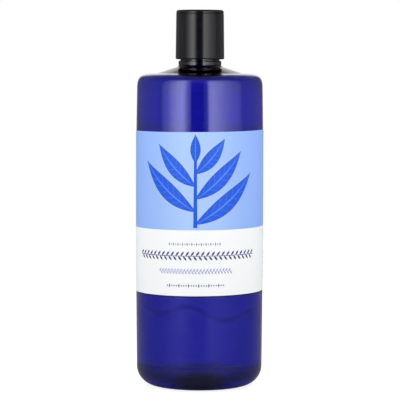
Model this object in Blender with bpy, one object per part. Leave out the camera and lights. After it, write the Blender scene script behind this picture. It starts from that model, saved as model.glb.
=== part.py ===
"""A refill bottle of liquid hand soap.

A blown plastic bottle with a pushed-up base and a threaded neck, the soap that fills it, a wrap label
with its print, and a screw cap whose top disc tilts to pour. Z is up, the base stands on Z = 0 and the
label's printed front faces -Y. Every size is in metres.
"""

import math

import bmesh
import bpy
import numpy as np
from mathutils import Vector

MM = 0.001
DEGREE = math.pi / 180

# Facets round each turned piece, and points along its curves
BOTTLE_FACETS = 48
CAP_FACETS = 40
SMALL_FACETS = 20
BODY_CURVE_POINTS = 6
SHARP_ANGLE = 30.0

# Bottle body: the label panel stands a little proud of the base and the shoulder
PANEL_RADIUS = 41.2 * MM
BASE_INSET = 0.4 * MM
SHOULDER_INSET = 0.35 * MM
PANEL_BOTTOM = 60.0 * MM
PANEL_TOP = 168.4 * MM
BODY_TOP = 192.5 * MM
BODY_WALL = 0.9 * MM

# Heel, foot ring and pushed-up base
HEEL_ROUND = 12.5 * MM
FOOT_WIDTH = 3.0 * MM
PUSH_UP = 10.0 * MM
PUSH_UP_POWER = 2.2

# Shoulder: a rounded corner, then a shallow cone up to the neck
SHOULDER_RISE = 10.25 * MM
CONE_EDGE_RADIUS = 28.0 * MM
CONE_RISE = 4.15 * MM
NECK_ROOT_FLARE = 0.65 * MM

# How far the shoulder's rounded corner bulges: up its side, and out and down from the cone's edge
SHOULDER_SIDE_PULL = 0.88
SHOULDER_TOP_PULL = 0.8
SHOULDER_TOP_DROP = 0.04

# Neck: a groove, a collar, then the threaded finish
GROOVE_DEPTH = 0.2 * MM
GROOVE_HEIGHT = 1.3 * MM
GROOVE_LIP = 0.3 * MM
COLLAR_OVERHANG = 1.2 * MM
COLLAR_HEIGHT = 2.8 * MM
COLLAR_ROUND = 0.9 * MM
NECK_RADIUS = 12.75 * MM
NECK_WALL = 1.95 * MM
BORE_ROUND = 1.0 * MM
FINISH_HEIGHT = 17.0 * MM
LIP_CHAMFER = 0.3 * MM

# Screw thread, six turns to the inch, shared by neck and cap
THREAD_PITCH = 4.2333 * MM
THREAD_HEIGHT = 1.1 * MM
THREAD_ROOT_HALF = 1.2 * MM
THREAD_CREST_HALF = 0.5 * MM
NECK_THREAD_TURNS = 1.5
CAP_THREAD_TURNS = 1.25
CAP_THREAD_FIRST_TURN = -0.25
THREAD_START_BELOW_LIP = 1.7 * MM
THREAD_AXIAL_PLAY = 0.3 * MM
THREAD_RADIAL_PLAY = 0.35 * MM
THREAD_FADE_STEPS = 4
THREAD_BURIED = 0.3 * MM

# Soap
SOAP_LEVEL = 192.0 * MM
SOAP_GAP = 0.3 * MM

# Wrap label, and the ink printed on it
LABEL_BOTTOM = 62.2 * MM
LABEL_TOP = 166.25 * MM
LABEL_GAP = 0.15 * MM
FILM_THICKNESS = 0.1 * MM
LABEL_OPEN_WIDTH = 36.0 * MM
LABEL_ASKEW = 0.42
FIELD_BOTTOM = 104.1 * MM
INK_GAP = 0.05 * MM
INK_THICKNESS = 0.05 * MM

# Leaf sprig printed on the blue field
SPRIG_MARGIN = 1.5 * MM
STEM_HALF_WIDTH = 1.1 * MM
LEAF_PITCH = 16.0 * MM
LEAF_PAIRS = 3
LEAF_LENGTH = 50.0 * MM
LEAF_HALF_WIDTH = 5.2 * MM
LEAF_STALK_HALF = 0.55 * MM
LOWEST_LEAF_ROOT = 2.6 * MM
LEAF_TILT = 62.0
LEAF_TILT_STEP = 5.5
LEAF_CURL = -22.0
LEAF_SHRINK_POWER = 1.5
LEAF_BELLY_POWER = 0.9
CROWN_FULLNESS = 0.5
LEAF_POINTS = 8

# Plain bars in place of the lines of print: height of the middle, width and height of the bar
PRINT_BARS = {
    "print_bar_grey": (95.2 * MM, 34.3 * MM, 1.4 * MM),
    "print_bar_navy": (87.7 * MM, 85.0 * MM, 3.0 * MM),
    "print_bar_lilac": (77.9 * MM, 49.0 * MM, 1.6 * MM),
    "print_bar_slate": (68.8 * MM, 37.0 * MM, 1.8 * MM),
}

# Cap shell
CAP_ABOVE_COLLAR = 0.75 * MM
CAP_HEIGHT = 31.95 * MM
CAP_WALL = 1.6 * MM
CAP_DRAFT = 0.35 * MM
CAP_TOP_ROUND = 1.6 * MM
CAP_BOTTOM_ROUND = 0.5 * MM
RING_GROOVE_BELOW_TOP = 2.3 * MM
RING_GROOVE_HEIGHT = 0.5 * MM
RING_GROOVE_DEPTH = 0.15 * MM
DECK_THICKNESS = 1.6 * MM
CHAMBER_WALL = 2.25 * MM
POST_RADIUS = 3.2 * MM
POST_BORE_RADIUS = 1.5 * MM

# Liner between the bottle's lip and the cap's deck
LINER_THICKNESS = 1.0 * MM
LINER_PLAY = 0.4 * MM
SEAT_GAP = 0.3 * MM

# Tilting disc
DISC_PLAY = 0.45 * MM
DISC_BELOW_RIM = 0.4 * MM
DISC_ABOVE_PIVOT = 2.2 * MM
DISC_BELOW_PIVOT = 2.4 * MM
DISC_PLATE = 1.4 * MM
DISC_SKIRT = 1.4 * MM
DISC_EDGE_ROUND = 0.5 * MM
DISC_TRAVEL = 17.0
BARREL_RADIUS = 2.0 * MM
BARREL_LENGTH = 8.0 * MM
SPOUT_RADIUS = 1.7 * MM
SPOUT_BORE_RADIUS = 0.9 * MM
PIN_RADIUS = 1.2 * MM
PIN_REACH = 0.7 * MM
PIN_PLAY = 0.3 * MM

# How far a cutter runs past the face that it cuts
CUT_OVERSHOOT = 1.0 * MM

# Colours (linear), roughness and metallic value of each finish
FINISHES = {
    "blue_pet": ((0.014, 0.012, 0.26, 1.0), 0.08, 0.0),
    "blue_soap": ((0.010, 0.010, 0.30, 1.0), 0.10, 0.0),
    "black_plastic": ((0.012, 0.012, 0.014, 1.0), 0.30, 0.0),
    "white_foam": ((0.85, 0.85, 0.83, 1.0), 0.80, 0.0),
    "white_film": ((0.94, 0.96, 0.98, 1.0), 0.35, 0.0),
    "pale_blue_ink": ((0.42, 0.60, 0.96, 1.0), 0.35, 0.0),
    "deep_blue_ink": ((0.03, 0.13, 0.80, 1.0), 0.35, 0.0),
    "grey_ink": ((0.42, 0.42, 0.46, 1.0), 0.40, 0.0),
    "navy_ink": ((0.06, 0.06, 0.22, 1.0), 0.40, 0.0),
    "lilac_ink": ((0.48, 0.48, 0.75, 1.0), 0.40, 0.0),
    "slate_ink": ((0.20, 0.21, 0.32, 1.0), 0.40, 0.0),
}

# Sizes that follow from the ones above
BASE_RADIUS = PANEL_RADIUS - BASE_INSET
SHOULDER_RADIUS = PANEL_RADIUS - SHOULDER_INSET
CONE_EDGE_Z = BODY_TOP + SHOULDER_RISE
NECK_ROOT_Z = CONE_EDGE_Z + CONE_RISE
COLLAR_BOTTOM = NECK_ROOT_Z + GROOVE_HEIGHT
COLLAR_TOP = COLLAR_BOTTOM + COLLAR_HEIGHT
LIP_Z = COLLAR_TOP + FINISH_HEIGHT
NECK_THREAD_Z = LIP_Z - THREAD_START_BELOW_LIP - THREAD_PITCH * NECK_THREAD_TURNS
LINER_BOTTOM = LIP_Z + SEAT_GAP
DECK_BOTTOM = LINER_BOTTOM + LINER_THICKNESS + SEAT_GAP
CAP_BOTTOM = COLLAR_TOP + CAP_ABOVE_COLLAR
CAP_TOP = CAP_BOTTOM + CAP_HEIGHT
PIVOT_Z = CAP_TOP - DISC_BELOW_RIM - DISC_ABOVE_PIVOT
BORE_RADIUS = NECK_RADIUS - NECK_WALL
COLLAR_RADIUS = NECK_RADIUS + COLLAR_OVERHANG
NECK_ROOT_RADIUS = COLLAR_RADIUS + NECK_ROOT_FLARE
SKIRT_RADIUS = NECK_RADIUS + THREAD_HEIGHT + THREAD_RADIAL_PLAY
LINER_OUTER_RADIUS = SKIRT_RADIUS - LINER_PLAY
CAP_BOTTOM_RADIUS = SKIRT_RADIUS + CAP_WALL
CAP_TOP_RADIUS = CAP_BOTTOM_RADIUS - CAP_DRAFT
CHAMBER_RADIUS = CAP_TOP_RADIUS - CHAMBER_WALL
DISC_RADIUS = CHAMBER_RADIUS - DISC_PLAY


def clear_scene():
    """Empties the scene, so that the model is all it holds."""
    for thing in list(bpy.data.objects):
        bpy.data.objects.remove(thing)


def finish(name):
    """The material of that name, made on first use."""
    found = bpy.data.materials.get(name)
    if found:
        return found
    colour, roughness, metallic = FINISHES[name]
    made = bpy.data.materials.new(name)
    made.use_nodes = True
    made.diffuse_color = colour
    shader = made.node_tree.nodes["Principled BSDF"]
    shader.inputs["Base Color"].default_value = colour
    shader.inputs["Roughness"].default_value = roughness
    shader.inputs["Metallic"].default_value = metallic
    return made


def add_piece(name, mesh_data, finish_name, parent=None, at=(0.0, 0.0, 0.0)):
    """Adds one finished sub-part to the scene from a bmesh."""
    bmesh.ops.remove_doubles(mesh_data, verts=mesh_data.verts, dist=1e-7)
    bmesh.ops.recalc_face_normals(mesh_data, faces=mesh_data.faces)
    mesh = bpy.data.meshes.new(name)
    mesh_data.to_mesh(mesh)
    mesh_data.free()
    mesh.shade_smooth()
    mesh.set_sharp_from_angle(angle=SHARP_ANGLE * DEGREE)
    piece = bpy.data.objects.new(name, mesh)
    piece.location = at
    piece.parent = parent
    if finish_name:
        mesh.materials.append(finish(finish_name))
    bpy.context.scene.collection.objects.link(piece)
    return piece


def add_helper(name, mesh_data, parent=None, at=(0.0, 0.0, 0.0)):
    """Adds a cutter or a joined-on shape, which is left out of renders."""
    helper = add_piece(name, mesh_data, None, parent, at)
    helper.hide_render = True
    helper.display_type = "WIRE"
    return helper


def combine(piece, helper, operation):
    """Joins the helper's shape to the piece, or cuts it away."""
    step = piece.modifiers.new(helper.name, "BOOLEAN")
    step.operation = operation
    step.solver = "EXACT"
    step.object = helper


def arc(centre, radii, start, end, count):
    """Points (r, z) along a quarter or part of an ellipse, angles in degrees from +r towards +z."""
    angles = np.linspace(start, end, count) * DEGREE
    return [(centre[0] + radii[0] * math.cos(a), centre[1] + radii[1] * math.sin(a)) for a in angles]


def bezier(ends, handles, count):
    """Points (r, z) along a cubic curve between two ends."""
    t = np.linspace(0, 1, count)[:, None]
    p0, p3 = np.array(ends)
    p1, p2 = np.array(handles)
    curve = (1 - t) ** 3 * p0 + 3 * t * (1 - t) ** 2 * p1 + 3 * t**2 * (1 - t) * p2 + t**3 * p3
    return [tuple(point) for point in curve.tolist()]


def moved_in(points, depth):
    """The profile moved towards the bottle's inside by depth, square to each of its stretches."""
    path = np.array(points)
    run = np.diff(path, axis=0)
    run /= np.linalg.norm(run, axis=1)[:, None]
    side = np.stack([-run[:, 1], run[:, 0]], axis=1)
    corner = np.vstack([side[:1], (side[:-1] + side[1:]) / 2, side[-1:]])
    corner /= (corner**2).sum(axis=1)[:, None]
    inner = path + corner * depth
    inner[0] = (0.0, path[0, 1] + depth)
    return [tuple(point) for point in inner.tolist()]


def turned(profile, facets, closed=True):
    """A bmesh of the (r, z) profile spun round the Z axis."""
    shape = bmesh.new()
    corners = [shape.verts.new((r, 0.0, z)) for r, z in profile]
    edges = [shape.edges.new(pair) for pair in zip(corners, corners[1:])]
    if closed:
        edges.append(shape.edges.new((corners[-1], corners[0])))
    bmesh.ops.spin(
        shape,
        geom=corners + edges,
        cent=(0, 0, 0),
        axis=(0, 0, 1),
        angle=math.tau,
        steps=facets,
        use_merge=True,
    )
    bmesh.ops.remove_doubles(shape, verts=shape.verts, dist=1e-7)
    return shape


def rod(radius, start, end, facets):
    """A bmesh of a straight round rod between two points."""
    shape = bmesh.new()
    start = np.array(start)
    end = np.array(end)
    length = float(np.linalg.norm(end - start))
    along = (end - start) / length
    across = np.cross(along, (0.0, 0.0, 1.0) if abs(along[2]) < 0.9 else (1.0, 0.0, 0.0))
    across /= np.linalg.norm(across)
    over = np.cross(along, across)
    angles = np.arange(facets) * math.tau / facets
    ring = radius * (np.cos(angles)[:, None] * across + np.sin(angles)[:, None] * over)
    low = [shape.verts.new(point) for point in (ring + start).tolist()]
    high = [shape.verts.new(point) for point in (ring + end).tolist()]
    shape.faces.new(low[::-1])
    shape.faces.new(high)
    for i in range(facets):
        j = (i + 1) % facets
        shape.faces.new((low[i], low[j], high[j], high[i]))
    return shape


def thread_ridge(wall_radius, outward, first_z, first_turn, turns, facets):
    """A bmesh of one screw ridge. Its root is buried in the wall, and its height fades in at both ends."""
    steps = round(turns * facets)
    shape = bmesh.new()
    rings = []
    for step in range(steps + 1):
        turn = first_turn + step / facets
        angle = math.tau * turn
        middle = first_z + THREAD_PITCH * turn
        fade = min(1.0, step / THREAD_FADE_STEPS, (steps - step) / THREAD_FADE_STEPS)
        crest = (THREAD_HEIGHT + THREAD_BURIED) * fade - THREAD_BURIED
        root_radius = wall_radius - outward * 2 * THREAD_BURIED
        crest_radius = wall_radius + outward * crest
        slope = (THREAD_ROOT_HALF - THREAD_CREST_HALF) / THREAD_HEIGHT
        root_half = THREAD_ROOT_HALF + slope * 2 * THREAD_BURIED
        crest_half = THREAD_ROOT_HALF - slope * crest
        section = [
            (root_radius, -root_half),
            (crest_radius, -crest_half),
            (crest_radius, crest_half),
            (root_radius, root_half),
        ]
        rings.append(
            [shape.verts.new((r * math.cos(angle), r * math.sin(angle), middle + z)) for r, z in section]
        )
    for here, there in zip(rings, rings[1:]):
        for i in range(4):
            j = (i + 1) % 4
            shape.faces.new((here[i], here[j], there[j], there[i]))
    shape.faces.new(rings[0])
    shape.faces.new(rings[-1][::-1])
    return shape


def wrapped(outline, gap, thickness):
    """A bmesh of a thin sheet of that outline, bent round the label panel.

    The outline holds (s, z) points, where s is the length along the panel from the front's middle. The sheet
    lies gap outside the panel. It bends only where the bottle's own facets meet, so it stays parallel to
    them. The whole label sits a little askew, higher on its right.
    """
    shape = bmesh.new()
    shape.faces.new([shape.verts.new((s, 0.0, z)) for s, z in outline])
    facet_width = PANEL_RADIUS * math.tau / BOTTLE_FACETS
    reach = int(max(abs(s) for s, _ in outline) / facet_width)
    for bend in range(-reach, reach + 1):
        bmesh.ops.bisect_plane(
            shape,
            geom=shape.verts[:] + shape.edges[:] + shape.faces[:],
            dist=1e-6,
            plane_co=(bend * facet_width, 0, 0),
            plane_no=(1, 0, 0),
        )
    bmesh.ops.triangulate(shape, faces=shape.faces)
    grown = bmesh.ops.extrude_face_region(shape, geom=shape.faces[:])
    for corner in grown["geom"]:
        if isinstance(corner, bmesh.types.BMVert):
            corner.co.y = thickness
    for corner in shape.verts:
        facet, along = divmod(corner.co.x / facet_width, 1.0)
        radius = PANEL_RADIUS + gap + corner.co.y
        near = bend_point(facet, radius)
        corner.co.xy = near + (bend_point(facet + 1, radius) - near) * along
        corner.co.z += corner.co.x * math.tan(LABEL_ASKEW * DEGREE)
    return shape


def bend_point(facet, radius):
    """Where the facet edge of that number, counted from the front's middle, crosses the radius, as (x, y)."""
    angle = facet * math.tau / BOTTLE_FACETS
    return Vector((math.sin(angle), -math.cos(angle))) * radius


def outer_wall():
    """The bottle's outside from the middle of its base to the root of its neck, as (r, z) points."""
    foot_radius = BASE_RADIUS - HEEL_ROUND
    dome_radius = foot_radius - FOOT_WIDTH
    dome = [
        (r, PUSH_UP * (1 - (r / dome_radius) ** PUSH_UP_POWER))
        for r in np.linspace(0, dome_radius, BODY_CURVE_POINTS).tolist()
    ]
    heel = arc((foot_radius, HEEL_ROUND), (HEEL_ROUND, HEEL_ROUND), -90, 0, BODY_CURVE_POINTS)
    panel = [(PANEL_RADIUS, PANEL_BOTTOM), (PANEL_RADIUS, PANEL_TOP)]
    corner_reach = SHOULDER_RADIUS - CONE_EDGE_RADIUS
    shoulder = bezier(
        [(SHOULDER_RADIUS, BODY_TOP), (CONE_EDGE_RADIUS, CONE_EDGE_Z)],
        [
            (SHOULDER_RADIUS, BODY_TOP + SHOULDER_SIDE_PULL * SHOULDER_RISE),
            (
                CONE_EDGE_RADIUS + SHOULDER_TOP_PULL * corner_reach,
                CONE_EDGE_Z - SHOULDER_TOP_DROP * SHOULDER_RISE,
            ),
        ],
        BODY_CURVE_POINTS + 1,
    )
    return dome + heel + panel + shoulder + [(NECK_ROOT_RADIUS, NECK_ROOT_Z)]


def neck_wall():
    """The neck's outside from the groove above its root to the lip, as (r, z) points."""
    groove_radius = COLLAR_RADIUS - GROOVE_DEPTH
    collar_edge = arc(
        (COLLAR_RADIUS - COLLAR_ROUND, COLLAR_TOP - COLLAR_ROUND), (COLLAR_ROUND, COLLAR_ROUND), 0, 75, 4
    )
    return [
        (groove_radius, COLLAR_BOTTOM - GROOVE_LIP),
        (COLLAR_RADIUS, COLLAR_BOTTOM),
        *collar_edge,
        (NECK_RADIUS, COLLAR_TOP),
        (NECK_RADIUS, LIP_Z - LIP_CHAMFER),
        (NECK_RADIUS - LIP_CHAMFER, LIP_Z),
    ]


def make_bottle():
    """The blown bottle, with a thin wall below and the thicker moulded neck above."""
    outside = outer_wall()
    inside = moved_in(outside, BODY_WALL)
    cone_slope = CONE_RISE / (CONE_EDGE_RADIUS - NECK_ROOT_RADIUS)
    root_r, root_z = inside[-1]
    throat_r = BORE_RADIUS + BORE_ROUND
    throat_z = root_z + cone_slope * (root_r - throat_r)
    bore = [(BORE_RADIUS, LIP_Z), (BORE_RADIUS, throat_z + BORE_ROUND), (throat_r, throat_z)]
    profile = outside + neck_wall() + bore + inside[-2::-1]
    bottle = add_piece("bottle", turned(profile, BOTTLE_FACETS, closed=False), "blue_pet")
    ridge = thread_ridge(NECK_RADIUS, 1, NECK_THREAD_Z, 0.0, NECK_THREAD_TURNS, BOTTLE_FACETS)
    combine(bottle, add_helper("neck_thread", ridge, bottle), "UNION")
    return bottle


def make_soap(bottle):
    """The soap, which fills the bottle to its level and keeps a fine gap to the wall."""
    edge = moved_in(outer_wall(), BODY_WALL + SOAP_GAP)
    below = next(i for i, (_, z) in enumerate(edge) if z >= SOAP_LEVEL)
    (low_r, low_z), (high_r, high_z) = edge[below - 1 : below + 1]
    level_r = low_r + (high_r - low_r) * (SOAP_LEVEL - low_z) / (high_z - low_z)
    profile = edge[:below] + [(level_r, SOAP_LEVEL), (0.0, SOAP_LEVEL)]
    return add_piece("liquid_soap", turned(profile, BOTTLE_FACETS, closed=False), "blue_soap", bottle)


def rectangle(half_width, low, high):
    """The outline of an upright rectangle, as (s, z) points."""
    return [(-half_width, low), (half_width, low), (half_width, high), (-half_width, high)]


def rounded_bar(middle_z, width, height):
    """The outline of a level bar with round ends, as (s, z) points."""
    end = height / 2
    reach = width / 2 - end
    right = arc((reach, middle_z), (end, end), -90, 90, 6)
    left = arc((-reach, middle_z), (end, end), 90, 270, 6)
    return right + left


def leaf_edges(root_z, rank):
    """The lower and the upper edge of one leaf on the right of the stem, each from stalk to tip.

    The rank counts leaf pitches from the lowest leaf: leaves grow shorter and steeper with it. The leaf's
    spine starts at the stem and curls upwards on its way out. Its half width is that of the stalk plus a
    sine arch that is fullest just past the leaf's middle.
    """
    size = 1 - (rank / (LEAF_PAIRS + 0.5)) ** LEAF_SHRINK_POWER
    tilt = LEAF_TILT - LEAF_TILT_STEP * rank
    t = np.linspace(0, 1, LEAF_POINTS)
    heading = (tilt + LEAF_CURL * t / 2) * DEGREE
    spine = np.stack([np.sin(heading), np.cos(heading)], axis=1) * (LEAF_LENGTH * size * t)[:, None]
    spine += (STEM_HALF_WIDTH, root_z)
    side = np.stack([np.cos(heading), -np.sin(heading)], axis=1)
    fullness = LEAF_HALF_WIDTH * (1 + size) / 2
    half = LEAF_STALK_HALF * (1 - t) + fullness * np.sin(math.pi * t**LEAF_BELLY_POWER)
    lower = spine + side * half[:, None]
    upper = spine - side * half[:, None]
    lower[0, 0] = STEM_HALF_WIDTH
    upper[0, 0] = STEM_HALF_WIDTH
    return lower.tolist(), upper.tolist()


def sprig_side(first_root, first_rank, count):
    """The right-hand outline of the sprig from the foot of its stem up to its last leaf, as (s, z) points."""
    points = [(STEM_HALF_WIDTH, FIELD_BOTTOM + SPRIG_MARGIN)]
    for i in range(count):
        lower, upper = leaf_edges(first_root + i * LEAF_PITCH, first_rank + i)
        points += lower + upper[-2::-1]
    return points


def sprig_outline():
    """The outline of a stem with leaves by turns on its right and left, and one leaf at its top."""
    first_right = FIELD_BOTTOM + SPRIG_MARGIN + LOWEST_LEAF_ROOT
    right = sprig_side(first_right, 0.0, LEAF_PAIRS)
    left = sprig_side(first_right + LEAF_PITCH / 2, 0.5, LEAF_PAIRS - 1)
    crown_root = first_right + (LEAF_PAIRS - 0.5) * LEAF_PITCH
    crown_tip = LABEL_TOP - SPRIG_MARGIN
    t = np.linspace(0, 1, LEAF_POINTS)
    fullness = LEAF_HALF_WIDTH * CROWN_FULLNESS
    half = STEM_HALF_WIDTH * (1 - t) + fullness * np.sin(math.pi * t**LEAF_BELLY_POWER)
    crown = np.stack([half, crown_root + (crown_tip - crown_root) * t], axis=1).tolist()
    back = [(-s, z) for s, z in (left + crown[:-1])[::-1]]
    return right + crown + back


def make_label(bottle):
    """The label film, the colour field and sprig printed on it, and the bars of print."""
    half_round = math.pi * PANEL_RADIUS - LABEL_OPEN_WIDTH / 2
    film = wrapped(rectangle(half_round, LABEL_BOTTOM, LABEL_TOP), LABEL_GAP, FILM_THICKNESS)
    add_piece("wrap_label", film, "white_film", bottle)
    field_gap = LABEL_GAP + FILM_THICKNESS + INK_GAP
    field = wrapped(rectangle(half_round, FIELD_BOTTOM, LABEL_TOP), field_gap, INK_THICKNESS)
    add_piece("label_blue_field", field, "pale_blue_ink", bottle)
    sprig_gap = field_gap + INK_THICKNESS + INK_GAP
    sprig = wrapped(sprig_outline(), sprig_gap, INK_THICKNESS)
    add_piece("label_leaf_sprig", sprig, "deep_blue_ink", bottle)
    for name, (middle_z, width, height) in PRINT_BARS.items():
        bar = wrapped(rounded_bar(middle_z, width, height), field_gap, INK_THICKNESS)
        add_piece(name, bar, name.replace("print_bar_", "") + "_ink", bottle)


def make_liner():
    """The foam ring that seals the bottle's lip against the cap's deck."""
    low = LINER_BOTTOM
    high = LINER_BOTTOM + LINER_THICKNESS
    profile = [(BORE_RADIUS, low), (LINER_OUTER_RADIUS, low), (LINER_OUTER_RADIUS, high), (BORE_RADIUS, high)]
    return add_piece("cap_liner", turned(profile, CAP_FACETS), "white_foam")


def cap_profile():
    """The cap shell's section, as (r, z) points with z from the cap's lower edge."""
    draft = (CAP_BOTTOM_RADIUS - CAP_TOP_RADIUS) / CAP_HEIGHT
    groove_z = CAP_HEIGHT - RING_GROOVE_BELOW_TOP
    groove_r = CAP_BOTTOM_RADIUS - draft * groove_z
    half_groove = RING_GROOVE_HEIGHT / 2
    lower_edge = arc(
        (CAP_BOTTOM_RADIUS - CAP_BOTTOM_ROUND, CAP_BOTTOM_ROUND),
        (CAP_BOTTOM_ROUND, CAP_BOTTOM_ROUND),
        -90,
        0,
        3,
    )
    upper_edge = arc(
        (CAP_TOP_RADIUS - CAP_TOP_ROUND, CAP_HEIGHT - CAP_TOP_ROUND),
        (CAP_TOP_ROUND, CAP_TOP_ROUND),
        0,
        90,
        5,
    )
    deck_low = DECK_BOTTOM - CAP_BOTTOM
    deck_high = deck_low + DECK_THICKNESS
    post_top = PIVOT_Z - CAP_BOTTOM - BARREL_RADIUS - SEAT_GAP
    return [
        *lower_edge,
        (groove_r, groove_z - half_groove),
        (groove_r - RING_GROOVE_DEPTH, groove_z),
        (groove_r, groove_z + half_groove),
        *upper_edge,
        (CHAMBER_RADIUS, CAP_HEIGHT),
        (CHAMBER_RADIUS, deck_high),
        (POST_RADIUS, deck_high),
        (POST_RADIUS, post_top),
        (POST_BORE_RADIUS, post_top),
        (POST_BORE_RADIUS, deck_low),
        (SKIRT_RADIUS, deck_low),
        (SKIRT_RADIUS, 0.0),
    ]


def make_cap():
    """The cap's shell: skirt and thread below the deck, the disc's chamber and the pouring post above it."""
    cap = add_piece("cap_shell", turned(cap_profile(), CAP_FACETS), "black_plastic", at=(0, 0, CAP_BOTTOM))
    flank_gap = THREAD_ROOT_HALF + THREAD_CREST_HALF + THREAD_AXIAL_PLAY
    overlap_taper = (THREAD_ROOT_HALF - THREAD_CREST_HALF) * THREAD_RADIAL_PLAY / THREAD_HEIGHT
    first_z = NECK_THREAD_Z - flank_gap + overlap_taper - CAP_BOTTOM
    ridge = thread_ridge(SKIRT_RADIUS, -1, first_z, CAP_THREAD_FIRST_TURN, CAP_THREAD_TURNS, CAP_FACETS)
    combine(cap, add_helper("cap_thread", ridge, cap), "UNION")
    pivot = PIVOT_Z - CAP_BOTTOM
    hole_reach = DISC_RADIUS + PIN_REACH + 2 * PIN_PLAY
    for name, side in (("pin_hole_left", -1), ("pin_hole_right", 1)):
        start = (side * (CHAMBER_RADIUS - CUT_OVERSHOOT), 0.0, pivot)
        end = (side * hole_reach, 0.0, pivot)
        hole = rod(PIN_RADIUS + PIN_PLAY, start, end, SMALL_FACETS)
        combine(cap, add_helper(name, hole, cap), "DIFFERENCE")
    return cap


def disc_profile():
    """The disc's section with its skirt, as (r, z) points with z from the pivot."""
    plate_low = DISC_ABOVE_PIVOT - DISC_PLATE
    skirt_inner = DISC_RADIUS - DISC_SKIRT
    edge = arc(
        (DISC_RADIUS - DISC_EDGE_ROUND, DISC_ABOVE_PIVOT - DISC_EDGE_ROUND),
        (DISC_EDGE_ROUND, DISC_EDGE_ROUND),
        0,
        90,
        4,
    )
    return [
        (0.0, plate_low),
        (skirt_inner, plate_low),
        (skirt_inner, -DISC_BELOW_PIVOT),
        (DISC_RADIUS, -DISC_BELOW_PIVOT),
        *edge,
        (0.0, DISC_ABOVE_PIVOT),
    ]


def make_disc(cap):
    """The tilting disc: its barrel turns over the post, and a channel leads from the barrel to the front."""
    at = (0, 0, PIVOT_Z - CAP_BOTTOM)
    disc = add_piece(
        "cap_disc", turned(disc_profile(), CAP_FACETS, closed=False), "black_plastic", cap, at
    )
    half_barrel = BARREL_LENGTH / 2
    pin_end = DISC_RADIUS + PIN_REACH
    pin_start = DISC_RADIUS - DISC_SKIRT / 2
    spout_front = -(DISC_RADIUS - DISC_SKIRT / 2)
    joined = {
        "disc_barrel": rod(BARREL_RADIUS, (-half_barrel, 0, 0), (half_barrel, 0, 0), SMALL_FACETS),
        "disc_spout": rod(SPOUT_RADIUS, (0, 0, 0), (0, spout_front, 0), SMALL_FACETS),
        "disc_pin_left": rod(PIN_RADIUS, (-pin_start, 0, 0), (-pin_end, 0, 0), SMALL_FACETS),
        "disc_pin_right": rod(PIN_RADIUS, (pin_start, 0, 0), (pin_end, 0, 0), SMALL_FACETS),
    }
    for name, shape in joined.items():
        combine(disc, add_helper(name, shape, disc), "UNION")
    port_reach = BARREL_RADIUS + CUT_OVERSHOOT
    port_end = (
        0.0,
        port_reach * math.sin(DISC_TRAVEL * DEGREE),
        -port_reach * math.cos(DISC_TRAVEL * DEGREE),
    )
    channel_end = -(DISC_RADIUS + CUT_OVERSHOOT)
    cut = {
        "disc_channel": rod(SPOUT_BORE_RADIUS, (0, 0, 0), (0, channel_end, 0), SMALL_FACETS),
        "disc_port": rod(SPOUT_BORE_RADIUS, (0, 0, 0), port_end, SMALL_FACETS),
    }
    for name, shape in cut.items():
        combine(disc, add_helper(name, shape, disc), "DIFFERENCE")
    return disc


def main():
    clear_scene()
    bottle = make_bottle()
    make_soap(bottle)
    make_label(bottle)
    make_liner()
    make_disc(make_cap())


main()
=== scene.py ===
"""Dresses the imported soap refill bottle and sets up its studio.

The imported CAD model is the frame. Each operator makes one piece, or one group of like pieces, as a smooth
surface in the place of its CAD solid, with a procedural material. Lengths are in metres.
"""

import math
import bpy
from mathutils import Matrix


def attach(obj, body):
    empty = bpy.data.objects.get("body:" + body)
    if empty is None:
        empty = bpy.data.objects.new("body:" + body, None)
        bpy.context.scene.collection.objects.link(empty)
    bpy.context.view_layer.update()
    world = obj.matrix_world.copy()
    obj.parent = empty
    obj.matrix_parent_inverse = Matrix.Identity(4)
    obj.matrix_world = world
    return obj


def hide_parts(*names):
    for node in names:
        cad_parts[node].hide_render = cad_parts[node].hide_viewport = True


bl_info = {
    "name": "Soap Refill Bottle",
    "version": (1, 0, 0),
    "blender": (4, 5, 0),
    "location": "3D View > Sidebar > Soap Bottle",
    "description": "Blown blue bottle of liquid soap with a wrap label and a disc-top cap",
    "category": "Add Mesh",
}

import bmesh
import bpy
import numpy as np
from bpy.props import FloatProperty, FloatVectorProperty, IntProperty, PointerProperty
from mathutils import Matrix, Vector

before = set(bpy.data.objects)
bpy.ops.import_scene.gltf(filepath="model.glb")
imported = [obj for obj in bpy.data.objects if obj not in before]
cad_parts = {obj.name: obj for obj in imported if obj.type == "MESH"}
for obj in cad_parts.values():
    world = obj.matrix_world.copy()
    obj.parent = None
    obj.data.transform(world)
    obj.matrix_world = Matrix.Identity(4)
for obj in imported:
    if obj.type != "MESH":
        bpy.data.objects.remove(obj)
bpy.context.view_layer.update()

MM = 0.001
BOTTLE_BODY = "filled_bottle"
LINER_BODY = "liner"
CAP_BODY = "cap"
DISC_BODY = "disc"
SHARP_ANGLE = math.radians(30)
SAME_POINT = 1e-6
MERGE_DISTANCE = 2e-7
THIN_EDGE = 1e-8


def length(name, description, millimetres):
    """A length setting, written in millimetres and held in metres."""
    metres = millimetres * MM
    return FloatProperty(name=name, description=description, default=metres, precision=5, unit="LENGTH")


def angle(name, description, degrees):
    """An angle setting, written in degrees and held in radians."""
    return FloatProperty(name=name, description=description, default=math.radians(degrees), unit="ROTATION")


def ratio(name, description, value):
    """A plain number without a unit."""
    return FloatProperty(name=name, description=description, default=value, precision=4, subtype="FACTOR")


def count(name, description, value):
    """A whole number of rows, columns or repeats."""
    return IntProperty(name=name, description=description, default=value, min=1)


def colour(name, description, value):
    """A linear colour."""
    return FloatVectorProperty(name=name, description=description, default=value, size=3, subtype="COLOR")


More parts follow.
